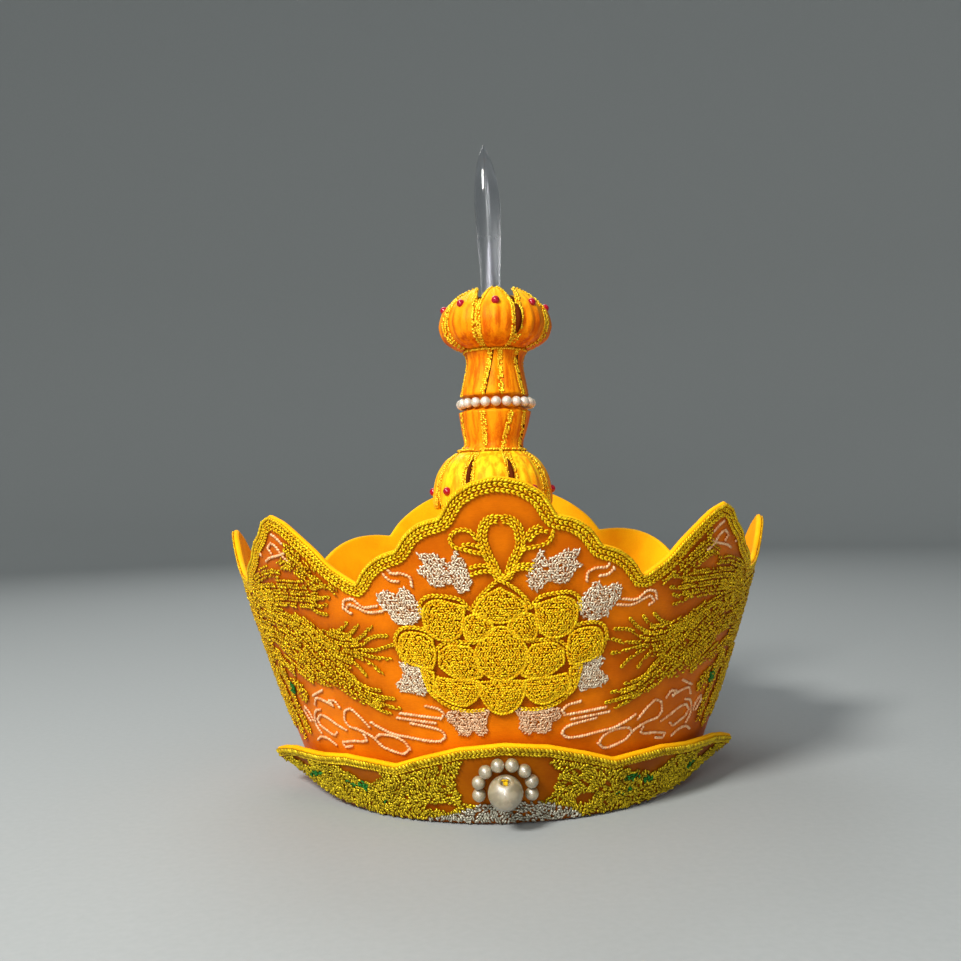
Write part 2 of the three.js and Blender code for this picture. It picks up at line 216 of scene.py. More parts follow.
def inwards(shape, inset):
    """A closed line moved inside itself, or out of itself where the inset is below nothing."""
    x, z = shape.T
    area = np.sum(x[:-1] * z[1:] - x[1:] * z[:-1])
    moved = beside(shape, inset * math.copysign(1, area))
    near = np.linalg.norm(moved[:, None] - shape[None], axis=2).min(1)
    moved = moved[near > abs(inset) * 0.9]
    return np.vstack([moved, moved[:1]])


def within(points, outline):
    """Which points a closed outline holds."""
    x, y = points.T
    inside = np.zeros(len(points), bool)
    outline = np.asarray(outline, float)
    for (x1, y1), (x2, y2) in zip(outline, np.roll(outline, -1, 0)):
        crosses = (y1 > y) != (y2 > y)
        inside ^= crosses & (x < (x2 - x1) * (y - y1) / ((y2 - y1) or 1e-9) + x1)
    return inside


def facing(way):
    """Unit directions in a chart from angles."""
    return np.stack([np.cos(way), np.sin(way)], 1)


ROW_SHARE = 0.87  # staggered rows lie this share of their pitch apart


def close_grid(low, high, pitch, loose=0.22):
    """Staggered rows of chart points, and whether each point lies in an odd row."""
    rows = [
        spots(np.arange(low[0] + (k % 2) * pitch / 2, high[0], pitch), z, k % 2)
        for k, z in enumerate(np.arange(low[1], high[1], pitch * ROW_SHARE))
    ]
    grid = np.vstack(rows)
    return grid[:, :2] + dice.uniform(-loose, loose, (len(grid), 2)), grid[:, 2] > 0


def turned_over(lines, across=0):
    """Lines mirrored about an upright line of the chart."""
    return [[(2 * across - p[0], *p[1:]) for p in line] for line in lines]


def shifted(lines, across):
    """Lines moved across the chart."""
    return [[(p[0] + across, *p[1:]) for p in line] for line in lines]


# ---- making meshes


def placed(name, data):
    """A new object in the scene from its mesh, light or camera."""
    thing = bpy.data.objects.new(name, data)
    bpy.context.scene.collection.objects.link(thing)
    return thing


def smooth_mesh(name, vertices, faces, material):
    """A smoothly shaded object from places in metres."""
    mesh = bpy.data.meshes.new(name)
    mesh.from_pydata(vertices, [], faces)
    mesh.materials.append(material)
    mesh.polygons.foreach_set("use_smooth", [True] * len(mesh.polygons))
    mesh.update()
    return placed(name, mesh)


def piece(name, vertices, faces, material):
    """One mesh object that rides on the crown, from places in millimetres."""
    thing = smooth_mesh(name, (np.asarray(vertices) * MM).tolist(), faces, material)
    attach(thing, BODY)
    return thing


def mark(thing, name, values):
    """Gives each vertex a number that a material reads by name."""
    layer = thing.data.attributes.new(name, "FLOAT", "POINT")
    layer.data.foreach_set("value", np.asarray(values).ravel().astype(np.float32))


def grid_faces(across, up, wrap_across=False, wrap_up=False):
    """Quads of a grid whose vertices run up each column in turn."""
    faces = []
    for c in range(across if wrap_across else across - 1):
        here, there = c * up, (c + 1) % across * up
        for r in range(up if wrap_up else up - 1):
            after = (r + 1) % up
            faces.append((here + r, there + r, there + after, here + after))
    return faces


def shell(name, sections, material, ring=False):
    """A solid swept through closed sections, each a list of places that run the same way."""
    sections = np.asarray(sections)
    across, up = sections.shape[:2]
    faces = grid_faces(across, up, wrap_across=ring, wrap_up=True)
    if not ring:
        faces += [tuple(range(up - 1, -1, -1)), tuple((across - 1) * up + r for r in range(up))]
    return piece(name, sections.reshape(-1, 3), faces, material)


def round_turns(sides):
    """Angles once round, in even steps."""
    return np.linspace(0, 2 * math.pi, sides, endpoint=False)


def lathe(profile, sides):
    """Places of a profile of (radius, height) turned about an upright axis, column by column."""
    return [(r * math.cos(a), r * math.sin(a), z) for a in round_turns(sides) for r, z in profile]


def turned(name, profile, sides, material, at=(0, 0, 0)):
    """A solid turned about an upright axis. The profile is (radius, height) from end to end."""
    vertices = np.array(lathe(profile, sides)) + np.asarray(at)
    thing = piece(name, vertices, grid_faces(sides, len(profile), wrap_across=True), material)
    weld(thing)
    return thing


def weld(thing):
    """Joins the vertices that share a place, and drops what has no area."""
    work = bmesh.new()
    work.from_mesh(thing.data)
    bmesh.ops.remove_doubles(work, verts=work.verts, dist=1e-6)
    bmesh.ops.recalc_face_normals(work, faces=work.faces)
    work.to_mesh(thing.data)
    work.free()


def told(thing, slot, *nodes, fill=None):
    if nodes:
        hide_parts(*nodes)


# ---- materials


class Value:
    """A number that a material works out at each point. Arithmetic on it adds Math nodes."""

    def __init__(self, paint, socket):
        self.paint, self.socket = paint, socket

    def _math(self, operation, other):
        return self.paint.node("Math", {"operation": operation}, self, other)

    def __add__(self, other):
        return self._math("ADD", other)

    def __sub__(self, other):
        return self._math("SUBTRACT", other)

    def __mul__(self, other):
        return self._math("MULTIPLY", other)

    def between(self, low, high):
        """0 below low, 1 above high, and a smooth step from one to the other."""
        setting = {"interpolation_type": "SMOOTHSTEP"}
        return self.paint.node("MapRange", setting, self, low, high, 0.0, 1.0)


OBJECT_PLACE = 3  # the output of Texture Coordinate that gives places in the crown's frame


class Paint:
    """One material. Its methods add nodes and hand back values."""

    def __init__(self, name, **sockets):
        self.material = bpy.data.materials.new(name)
        self.material.use_nodes = True
        self.tree = self.material.node_tree
        self.skin = self.tree.nodes["Principled BSDF"]
        for socket, value in sockets.items():
            self.skin.inputs[socket.replace("_", " ")].default_value = value

    def node(self, kind, settings=None, *inputs, output=0, **named):
        """A node of a kind, with its settings first, then its sockets in order or by name."""
        made = self.tree.nodes.new("ShaderNode" + kind)
        for setting, value in (settings or {}).items():
            setattr(made, setting, value)
        sockets = [s for s in made.inputs if s.enabled]
        pairs = list(zip(sockets, inputs))
        pairs += [(made.inputs[name.replace("_", " ")], value) for name, value in named.items()]
        for socket, value in pairs:
            self.feed(socket, value)
        outputs = [s for s in made.outputs if s.enabled]
        return Value(self, outputs[output])

    def feed(self, socket, value):
        """Sets a socket, or links it to a value."""
        if isinstance(value, Value):
            self.tree.links.new(value.socket, socket)
        elif value is not None:
            socket.default_value = value

    def place(self, scale=(1, 1, 1)):
        """Where the point is, in the crown's own frame, scaled."""
        where = self.node("TexCoord", output=OBJECT_PLACE)
        return self.node("Mapping", {"vector_type": "POINT"}, where, Scale=scale)

    def height(self):
        """How high the point is above the table, in metres."""
        return self.node("SeparateXYZ", None, self.place(), output=2)

    def noise(self, size, detail=3.0, stretch=(1, 1, 1)):
        """Noise with features of a size in millimetres."""
        place = self.place(tuple(s / (size * MM) for s in stretch))
        setting = {"noise_dimensions": "3D"}
        return self.node(
            "TexNoise", setting, Vector=place, Scale=1.0, Detail=detail, Roughness=0.55
        )

    def marked(self, name):
        """A number that the mesh holds at each vertex."""
        return self.node("Attribute", {"attribute_name": name}, output=2)

    def blend(self, share, first, second):
        """A colour between two, by a share."""
        ends = [c if isinstance(c, Value) else rgb(*c) for c in (first, second)]
        return self.node("Mix", {"data_type": "RGBA"}, share, *ends)

    def finish(self, colour, roughness, height=None, depth=0.0, strength=1.0):
        """The finished material. The height, 0 to 1, stands for a depth in millimetres."""
        self.feed(self.skin.inputs["Base Color"], colour)
        self.feed(self.skin.inputs["Roughness"], roughness)
        if height is not None:
            bump = self.node("Bump", {}, Strength=strength, Distance=depth * MM, Height=height)
            self.feed(self.skin.inputs["Normal"], bump)
        return self.material


def rgb(red, green, blue):
    return (red, green, blue, 1.0)


def satin(name="orange_satin", dark=(0.55, 0.104, 0.001), light=(0.82, 0.195, 0.002)):
    """Orange satin with a fine crosswise thread, with painted shade near and between the
    stitching.
    """
    paint = Paint(name, IOR=1.3, Specular_Tint=rgb(1, 0.5, 0.12))
    weft = paint.noise(0.6, 2, (0.3, 0.3, 1.6))
    shade = (paint.noise(24) * 0.8 + weft * 0.2).between(0.3, 0.7)
    cloth = paint.blend(shade, dark, light)
    # painted shade: near the stitching the satin is painted towards a deep brown
    colour = paint.blend(paint.marked("shade_near_stitching") * 0.85, cloth, (0.26, 0.046, 0.0005))
    return paint.finish(colour, weft * 0.12 + 0.46, weft, 0.02, 0.5)


def lining_cloth(name="yellow_lining", light=(1.0, 0.52, 0.004), dark=(0.88, 0.36, 0.002)):
    """Golden yellow cloth with a close plain weave."""
    paint = Paint(name, Specular_IOR_Level=0.15, Specular_Tint=rgb(1, 0.7, 0.3))
    fibre = paint.noise(0.45)
    shade = (paint.noise(18) * 0.6 + fibre * 0.4).between(0.32, 0.68)
    return paint.finish(paint.blend(shade, dark, light), fibre * 0.2 + 0.62, fibre, 0.08, 0.6)


def petal_satin(name, dark, light, top_lit_from=1.0):
    """The finial's satin, with painted shade in streaks for its folds and painted light between
    them, and painted top light that turns it yellow above a height.
    """
    paint = Paint(name, Specular_IOR_Level=0.3, Specular_Tint=rgb(1, 0.65, 0.2))
    streak = paint.noise(2.6, 3, (1, 1, 0.07))
    fibre = paint.noise(0.5, 2, (2, 2, 0.4))
    # painted shade in the folds and painted light on them, from streaky noise
    folds = paint.blend((streak * 0.75 + fibre * 0.25).between(0.36, 0.62), dark, light)
    # painted light: above a height the satin turns yellow, where the top light falls
    yellow = paint.height().between(top_lit_from, top_lit_from + 0.02) * 0.75
    colour = paint.blend(yellow, folds, (1.0, 0.62, 0.01))
    return paint.finish(colour, fibre * 0.2 + 0.42, streak * 0.6 + fibre * 0.4, 0.25, 0.7)


def thread(name, dark, light, metal, rough):
    """Twisted thread, each stitch a little lighter or darker at random and painted darker towards
    its foot for shade, wrapped with fine foil.
    """
    paint = Paint(name, Metallic=metal, Specular_IOR_Level=0.6, Specular_Tint=rgb(*light))
    wrap = paint.noise(0.35, 2)
    # painted shade: the marked tone darkens each stitch towards its foot
    colour = paint.blend(paint.marked("tone_and_shade") * 0.8 + wrap * 0.2, dark, light)
    return paint.finish(colour, wrap * 0.2 + (rough - 0.1), wrap, 0.08, 0.7)


def pearl_shell(name="white_pearl", dark=(0.52, 0.45, 0.34), light=(0.68, 0.62, 0.52)):
    """Pearly plastic: a broad soft gleam under a thin clear coat, with faint darker clouds."""
    paint = Paint(name, IOR=2.7, Coat_Weight=1.0, Coat_Roughness=0.08, Subsurface_Weight=0.15,
                  Subsurface_Scale=0.002)
    cloud = paint.noise(3.2, 2)
    colour = paint.blend(cloud.between(0.4, 0.6), dark, light)
    return paint.finish(colour, cloud * 0.08 + 0.44, paint.noise(0.7, 2), 0.02, 0.3)


def clear_rod():
    """Clear rod with faint flow lines, polished above and rubbed dull towards its foot."""
    paint = Paint("clear_rod", IOR=1.45, Transmission_Weight=1.0)
    flow = paint.noise(2.0, 2, (1, 1, 0.06))
    dull = flow * 0.06 + 0.34 - paint.height().between(0.235, 0.285) * 0.29
    return paint.finish(rgb(0.78, 0.79, 0.83), dull, flow, 0.02, 0.4)


def drawn_steel():
    """Soft grey wire with fine lines along it."""
    paint = Paint("drawn_steel", Metallic=0.3)
    lines = paint.noise(0.4, 2, (1, 1, 0.03))
    colour = paint.blend(lines, (0.42, 0.42, 0.47), (0.68, 0.68, 0.74))
    return paint.finish(colour, lines * 0.15 + 0.45, lines, 0.02, 0.5)


def crimson_bead():
    """Cut crimson glass bead."""
    paint = Paint("crimson_bead", Coat_Weight=0.35, Coat_Roughness=0.08, Specular_IOR_Level=0.4)
    depth = paint.noise(0.9, 2)
    colour = paint.blend(depth, (0.20, 0.0, 0.008), (0.55, 0.004, 0.03))
    return paint.finish(colour, depth * 0.1 + 0.12, depth, 0.02, 0.3)


def pale_floor():
    """Even pale grey."""
    paint = Paint("pale_floor", Specular_IOR_Level=0.2)
    grain = paint.noise(3)
    colour = paint.blend(grain, (0.34, 0.36, 0.36), (0.39, 0.41, 0.41))
    return paint.finish(colour, grain * 0.1 + 0.7)


SATIN = satin()
# painted shade: the wall's satin painted darker for the flap, which faces down
SHADED_FLAP_SATIN = satin("shaded_flap_satin", (0.22, 0.04, 0.0005), (0.34, 0.09, 0.001))
LINING_CLOTH = lining_cloth()
CAP_CLOTH = lining_cloth("cap_cloth", (1.0, 0.50, 0.004), (0.88, 0.36, 0.002))
NECK_SATIN = petal_satin("neck_satin", (0.62, 0.11, 0.001), (0.94, 0.32, 0.003))
PETAL = petal_satin("petal_satin", (0.62, 0.10, 0.001), (0.94, 0.30, 0.003), top_lit_from=0.211)
# painted light: the petal satin painted lighter and yellower for the lower ring, which faces up to
# the light
TOP_LIT_PETAL = petal_satin("top_lit_petal_satin", (0.92, 0.30, 0.003), (1.0, 0.66, 0.012))
GOLD = thread("gold_thread", (0.62, 0.22, 0.001), (1.0, 0.76, 0.02), 0.25, 0.28)
PLUME_GOLD = thread("plume_thread", (0.34, 0.09, 0.001), (1.0, 0.74, 0.02), 0.4, 0.26)
# olive gold thread; its very dark foot colour is partly painted shade, for the flap faces down
FLAP_GOLD = thread("olive_gold_thread_in_shade", (0.10, 0.05, 0.001), (0.95, 0.72, 0.03), 0.55, 0.32)
EDGE_GOLD = thread("gold_cord", (0.56, 0.19, 0.001), (1.0, 0.78, 0.02), 0.3, 0.28)
SILVER = thread("silver_thread", (0.42, 0.18, 0.04), (1.0, 0.94, 0.74), 0.35, 0.3)
GREY = thread("grey_thread", (0.10, 0.09, 0.05), (0.80, 0.76, 0.62), 0.5, 0.32)
ROSE = thread("rose_silver_thread", (0.45, 0.15, 0.03), (1.0, 0.76, 0.50), 0.3, 0.36)
PEACH = thread("peach_thread", (0.66, 0.20, 0.03), (1.0, 0.74, 0.44), 0.2, 0.42)
GREEN = thread("green_thread", (0.002, 0.03, 0.004), (0.05, 0.30, 0.05), 0.3, 0.4)
YELLOW = thread("yellow_thread", (0.34, 0.18, 0.002), (0.92, 0.60, 0.02), 0.0, 0.6)
GLITTER = thread("glitter_cord", (0.72, 0.30, 0.002), (1.0, 0.82, 0.05), 0.25, 0.22)
# painted shadow: a near-black cloth for pieces set where the finial shows only shade
SHADOW_CLOTH = lining_cloth("painted_shadow_cloth", (0.11, 0.014, 0.001), (0.05, 0.006, 0.001))
FLAP_CORD = thread("flap_cord", (0.24, 0.10, 0.001), (1.0, 0.76, 0.03), 0.4, 0.3)
PEARL = pearl_shell()
CREAM_PEARL = pearl_shell("cream_pearl", (0.22, 0.17, 0.08), (0.34, 0.27, 0.15))
CLEAR = clear_rod()
STEEL = drawn_steel()
CRIMSON = crimson_bead()


# ---- stitches


def unit(ways):
    """The directions with a length of one."""
    return ways / np.linalg.norm(ways, axis=1, keepdims=True)


def grain_shape(sides=5):
    """A rice grain along X, one unit long and one across, as places and triangles."""
    turns = np.arange(sides) * 2 * math.pi / sides
    ring = np.stack([0 * turns, np.sin(turns) / 2, np.cos(turns) / 2], 1)
    places = np.vstack(
        [[[-0.5, 0, 0]], ring + [-0.2, 0, 0], ring + [0.2, 0, 0], [[0.5, 0, 0]]]
    )
    faces = []
    last = 2 * sides + 1
    for i in range(sides):
        j = (i + 1) % sides
        a, b, c, d = 1 + i, 1 + j, 1 + sides + j, 1 + sides + i
        faces += [(0, a, b), (a, c, b), (a, d, c), (d, last, c)]
    return places, np.array(faces)


GRAIN_PLACES, GRAIN_FACES = grain_shape()
# painted shade: each stitch's colour runs from full on its crown to dark at its foot
GRAIN_LIT_SHARE = np.clip(0.38 + 1.25 * GRAIN_PLACES[:, 2], 0, 1)  # 1 on the crown, less at the foot


FINE = 0.45  # step of the lines that outlines and feathers are worked along


class Stitching:
    """Gathers stitches laid on a surface, and joins them into one mesh."""

    def __init__(self, surface, lift=0.35, allowed=None, missing=0.0):
        self.surface, self.lift, self.allowed, self.missing = surface, lift, allowed, missing
        self.batches, self.spots = [], []

    def lay(self, points, ahead, length=2.0, width=0.9, lift=None):
        """Stitches at chart points, each along its own direction."""
        points, ahead = np.atleast_2d(points), np.atleast_2d(ahead)
        out = np.broadcast_to(self.lift if lift is None else lift, len(points))
        kept = dice.uniform(size=len(points)) >= self.missing
        if self.allowed is not None and len(points):
            kept &= self.allowed(points)
        points, ahead, out = points[kept], ahead[kept], out[kept]
        if len(points) == 0:
            return
        self.spots.append(points)
        across, up = (
            self.surface(points + nudge) - self.surface(points - nudge)
            for nudge in ([0.3, 0], [0, 0.3])
        )
        normal = unit(np.cross(across, up))
        origin = self.surface(points)
        normal *= np.sign(np.sum(normal * origin * [1, 1, 0], axis=1))[:, None]
        along = unit(across * ahead[:, :1] + up * ahead[:, 1:])
        along = unit(along + normal * dice.uniform(-0.2, 0.2, (len(points), 1)))
        side = np.cross(normal, along)
        vary = dice.uniform(0.88, 1.12, (len(points), 3))
        x, y, z = GRAIN_PLACES.T
        places = (
            (origin + normal * (out[:, None] * vary[:, 2:]))[:, None]
            + along[:, None] * (x[None, :, None] * length * vary[:, :1, None])
            + side[:, None] * (y[None, :, None] * width * vary[:, 1:2, None])
            + normal[:, None] * (z[None, :, None] * width * 0.9)
        )
        tones = dice.uniform(0.05, 1, len(points)) ** 0.7
        # each stitch's random tone, times the painted shade towards its foot
        self.batches.append((places, (tones[:, None] * GRAIN_LIT_SHARE).ravel()))

    def row(self, line, pitch=1.35, slant=0.3, length=2.0, width=1.1, lift=None):
        """One couched cord: stitches that lean the same way along a line."""
        line = spaced(np.asarray(line, float), pitch)
        ahead = headings(line)
        c, s = math.cos(slant), math.sin(slant)
        self.lay(line, ahead @ [[c, s], [-s, c]], length, width, lift=lift)

    def chain(self, line, pitch=1.6, spread=0.4, length=2.3, width=0.82, lift=None):
        """A row of chain stitch: pairs of stitches that meet in a V."""
        for hand in (-1, 1):
            self.row(beside(line, hand * spread), pitch, hand * 0.38, length, width, lift)

    def fill(self, outline, grow=0.7, pitch=1.05, length=1.9, width=0.8, dome=0.0):
        """Close crossing stitches inside an outline, heaped up towards its middle by dome."""
        shape = inwards(drawn(outline, FINE, closed=True), -grow)
        points, odd = close_grid(shape.min(0), shape.max(0), pitch)
        far = np.linalg.norm(points[:, None] - shape[None], axis=2)
        edge = far.min(1)
        nearest = shape[far.argmin(1)] - points
        way = np.arctan2(nearest[:, 1], nearest[:, 0]) + math.pi / 2
        way += np.where(odd, 0.55, -0.55) + dice.uniform(-0.6, 0.6, len(way))
        heap = self.lift + dome * (1 - np.exp(-edge / 2))
        kept = within(points, shape) & (edge > 0.3)
        self.lay(points[kept], facing(way[kept]), length, width, heap[kept])

    def done(self, name, material, *nodes):
        """Makes the joined mesh, which may replace CAD nodes."""
        places = np.concatenate([p for p, _ in self.batches]).reshape(-1, 3)
        tones = np.concatenate([t for _, t in self.batches])
        count = len(places) // len(GRAIN_PLACES)
        shift = np.arange(count)[:, None, None] * len(GRAIN_PLACES)
        faces = (GRAIN_FACES[None] + shift).reshape(-1, 3).tolist()
        thing = piece(name, places, faces, material)
        # the random tone with the painted shade, for the thread's colour
        mark(thing, "tone_and_shade", tones)
        told(thing, "gold_braid", *nodes)


# ---- the wall


LINING_INSET = 1.3  # the board's outer face lies this far inside the satin's
BOARD_INSET = 2.5  # and its inner face this far
BINDING = 0.1  # the bound edge stands this far proud of the satin
ROLL = np.radians([-42, -20, *range(0, 181, 20)])  # turns round the bound edge, from outside
SATIN_BACK = 1.0  # the satin turned in under the bound edge lies this far inside its face
FOOT = box("wall_panel")[0][2]
MIDDLE = 60.0  # the wall's girth at this height stands for the whole
BRAID_REACH = 6.5  # the braid takes up this much below the leaves' edge
WORKED = []  # chart points of the stitches on the wall


def leaf_edge(step):
    """The leaves' upper edge once round, as chart points."""
    chart = np.stack([LINING[:, 0] * CHART_RADIUS, LINING[:, 3]], 1)
    chart = np.vstack([chart[-5:-1] - [ROUND, 0], chart, chart[1:5] + [ROUND, 0]])
    line = drawn(chart, step, corner=24)
    reach = CHART_RADIUS * LINING[:, 0].max()
    return line[(line[:, 0] >= -reach) & (line[:, 0] < reach)]


OUTLINE = leaf_edge(1.1)


def rolled(half):
    """A bound edge of a half thickness: rises over its middle, and distances out."""
    return [(half * math.sin(turn), BINDING - half + half * math.cos(turn)) for turn in ROLL]


def wall_section(across, top):
    """One upright cut of the lining: outer face, bound edge, inner face."""
    half = (BINDING + BOARD_INSET) / 2
    crest = top - half
    section = [(across, z, -LINING_INSET) for z in np.linspace(0, crest - 1.2, 4)]
    section += [(across, crest + rise, out) for rise, out in rolled(half)]
    section += [(across, z, -BOARD_INSET) for z in np.linspace(crest - 4, 0, 9)]
    return section


def wall_layer(name, sections, material):
    """A ring from upright cuts, each a list of (across, up, distance out of the satin's face)."""
    across, height, out = np.moveaxis(sections, -1, 0)
    places = plan(across / CHART_RADIUS, np.polyval(WALL, height) + out, height)
    return shell(name, places, material, ring=True)


def wall_lining():
    """The stiffened board in its yellow cloth, rolled over the leaves' edge."""
    sections = np.array([wall_section(across, top) for across, top in OUTLINE])
    thing = wall_layer("leaf_lining", sections, LINING_CLOTH)
    told(thing, "lining_cloth", "wall_lining", fill=0.8)


def spread_out(cells, reach):
    """Each cell's mean with its neighbours within a reach."""
    for axis in (0, 1):
        cells = np.mean([np.roll(cells, k, axis) for k in range(-reach, reach + 1)], axis=0)
    return cells


NEAR_FULL, WIDE_FULL = 0.55, 0.45  # stitches to a cell that give the satin its full painted shade


def stitching_shade_map(charts):
    """How much painted shade the stitching near each chart point of the wall puts on the satin, 0
    to 1.
    """
    across, up = int(ROUND), 140  # cells of about a millimetre
    worked = np.vstack(WORKED)
    turned_in = (worked[:, 0] / ROUND + 0.5) % 1 * across
    counts, _, _ = np.histogram2d(
        turned_in, worked[:, 1], bins=(across, up), range=((0, across), (0, up))
    )
    near = spread_out(counts, 2)
    wide = spread_out(spread_out(near, 4), 4)
    shade_share = 0.6 * np.clip(near / NEAR_FULL, 0, 1) + 0.4 * np.clip(wide / WIDE_FULL, 0, 1)
    column = ((charts[..., 0] / ROUND + 0.5) % 1 * across).astype(int) % across
    row = np.clip(charts[..., 1], 0, up - 1).astype(int)
    return shade_share[column, row]


def satin_wall():
    """The satin skin, close on the board and tucked under the bound edge."""
    sections = []
    for across, top in OUTLINE:
        front, back = np.linspace(FOOT, top - 2.0, 56), np.linspace(top - 2.0, FOOT, 6)
        cut = [(across, z, 0.0) for z in front] + [(across, z, -SATIN_BACK) for z in back]
        sections.append(cut)
    sections = np.array(sections)
    thing = wall_layer("satin_wall", sections, SATIN)
    # the satin's painted shade near the stitching
    mark(thing, "shade_near_stitching", stitching_shade_map(sections))
    told(thing, "embroidered_satin", "wall_panel")
    girth = 2 * math.pi * (np.polyval(WALL, MIDDLE) + STRETCH / 2) * MM
    tall = OUTLINE[:, 1] * MM
    area = girth * tall.mean()


def below_edge(line, inset, step=0.8):
    """The line an inset below an edge, without the loops at its inner corners."""
    moved = beside(line, -inset)
    near = np.array([np.linalg.norm(line - p, axis=1).min() for p in moved])
    return spaced(moved[near > inset * 0.96], step)


def under_braid(points):
    """Which chart points of the wall lie clear below the braid."""
    across = (points[:, 0] + ROUND / 2) % ROUND - ROUND / 2
    clear = points[:, 1] < np.interp(across, OUTLINE[:, 0], OUTLINE[:, 1])
    for turn in (-ROUND, 0, ROUND):
        line = OUTLINE + [turn, 0]
        low, high = points[:, 0].min() - 9, points[:, 0].max() + 9
        near = (line[:, 0] > low) & (line[:, 0] < high)
        if near.any():
            far = np.linalg.norm(points[:, None] - line[near][None], axis=2).min(1)
            clear &= far > BRAID_REACH
    return clear


def edge_braid():
    """A whipped cord and two rows of chain stitch along the leaves' edge."""
    loop = np.vstack([OUTLINE, OUTLINE[:1] + [ROUND, 0]])
    work = Stitching(on_wall, lift=0.5)
    work.row(below_edge(loop, 1.1), pitch=1.15, slant=0.5, length=2.6, width=1.15, lift=0.6)
    for inset in (2.8, 4.8):
        work.chain(below_edge(loop, inset), pitch=1.7, spread=0.42, length=2.4, width=0.9)
    WORKED.extend(work.spots)
    work.done("edge_braid", EDGE_GOLD, "wall_braid")


# ---- the lotus on the wall


# Outlines and lines of (across, up). Those of pairs are charted on the right hand alone.
LOTUS_PETALS = [
    [(0, 94), (4.5, 91.5), (8.5, 88), (9, 85.5), (5, 83), (0, 82), (-5, 83), (-9, 85.5),
     (-7, 89), (-4.5, 91.5)],
    [(0, 79.5), (4, 78), (7.5, 74), (9.5, 69), (8, 64), (4, 60.5), (0, 59.5), (-4, 60.5),
     (-8, 64), (-9.5, 69), (-7.5, 74), (-4, 78)],
    [(-9, 58), (0, 58.5), (9, 58), (8, 53), (5, 48), (0, 46), (-5, 48), (-8, 53)],
]
LOTUS_PAIRS = [
    [(13, 87.5), (18, 89), (22, 90), (26, 88.5), (27.5, 85), (27, 80), (24, 76.5), (19, 75.5),
     (15, 77.5), (14, 82)],
    [(26, 75), (29, 77), (35, 77.5), (38, 75), (38.5, 70), (36, 66.5), (31, 65), (27, 64.5),
     (25.5, 69)],
    [(4, 82), (8, 84.5), (12, 83.5), (13, 79), (12, 75), (7, 75.5), (3, 79)],
    [(23, 70), (19, 72.5), (12, 72), (10, 69), (9, 64), (8, 61), (14, 60), (19, 61.5),
     (23.5, 65)],
    [(25, 60), (18, 59), (10, 58.5), (8, 56), (12, 51), (17, 49.5), (23, 52), (27, 55)],
    [(27, 62), (31, 63.5), (30, 58), (28.5, 54), (26.5, 52.5), (27.5, 57)],
]
LOTUS_ROPES = [
    [(-10, 86.5), (-8, 90), (-5, 93.5), (-1, 97), (1, 97), (5, 94.5), (9, 90.5), (10.5, 87)],
]
LOTUS_ROPE_PAIRS = [
    [(11, 87), (14, 90.5), (19, 91.8), (25, 92), (28.5, 89.5), (29, 85)],
    [(25, 76.5), (28, 79), (33, 80), (38, 79), (40.5, 75), (39.5, 69), (37.5, 66)],
    [(28, 53.5), (25, 50.5), (20, 48), (14, 46.8), (8, 47.2)],
    [(10, 74), (15, 74.3), (21, 74), (25, 71)],
]
SILVER_LEAVES = [
    [(27.5, 108.1), (23.9, 107.7), (20.5, 106.7), (16.6, 103.6), (15.8, 105.4), (14.6, 108.1),
     (13.4, 106.2), (11.7, 103.8), (10.5, 100), (10, 97.1), (11.2, 94.4), (13.1, 92.8),
     (14.9, 94.7), (17, 96.6), (20.9, 96.1), (23.9, 96.6), (25.6, 99), (28.3, 102.3),
     (25.6, 103.3)],
    [(29, 88), (32, 93), (35, 95.5), (37, 92.5), (42, 94), (45, 92), (44, 88), (41, 85),
     (40, 82.5), (35, 81), (30, 83), (28, 86)],
    [(30, 64.5), (36, 66), (40, 65.5), (39, 61), (43, 57), (42, 54.5), (37, 54), (32, 53),
     (30, 56), (30, 60)],
]
ROSE_LEAVES = [
    [(5.5, 47), (12, 46.6), (18, 46.8), (23, 46.2), (23.6, 42.8), (20.4, 41), (19.2, 37.6),
     (15.6, 36.8), (13, 38.6), (10, 36.8), (6.8, 38.8), (7.2, 42.4)],
]
BUD_STRANDS = [
    [(0, 98.5), (-1.3, 101), (-2, 103.3), (-3.2, 105.7), (-4.4, 109.1), (-5.2, 112.5),
     (-5, 115.8), (-3.9, 118.5), (-2, 119.9), (-0.5, 119.8)],
    [(2.9, 98.5), (3.9, 101), (4.8, 104.3), (6.1, 106.7), (7.3, 110), (7.1, 113.4),
     (6.6, 116.3), (4.9, 118.7), (2.9, 119.9), (1.7, 119.7)],
]
BUD_CORDS = [
    [(-1.2, 100.9), (0, 98.5), (1.4, 97.6), (2.9, 98.5), (3.9, 100.4)],
    [(-7.2, 113.2), (-8.8, 115.6), (-12.2, 116.5), (-14.9, 115.1), (-15.9, 112.7),
     (-14.7, 110.3), (-11.2, 109.1), (-7.8, 108), (-4.9, 107.4)],
    [(-11.5, 110.8), (-9.8, 111), (-7, 110.4), (-5.5, 109.5)],
    [(9, 112.6), (10.8, 115.6), (14.1, 117.1), (16.8, 116.7), (18.2, 114.4), (17, 111.5),
     (14.4, 109.9), (11.2, 109.3), (8.7, 108.6)],
    [(10.5, 112), (11.9, 113.9), (14.1, 115.1), (15.8, 114.9)],
    [(-9.5, 102.4), (-6.9, 103.1), (-3.9, 102.9), (-2.3, 101.9)],
    [(-9.5, 99.7), (-6.9, 100.7), (-3.9, 100.9), (-1.5, 100.4)],
    [(5.1, 102.4), (8.3, 103.1), (11.4, 102.9)],
    [(3.4, 100), (5.8, 101.2), (8.8, 101.5), (11, 101)],
]


def both_hands(lines):
    """Lines of the right half with those of the left half after them."""
    return lines + turned_over(lines)


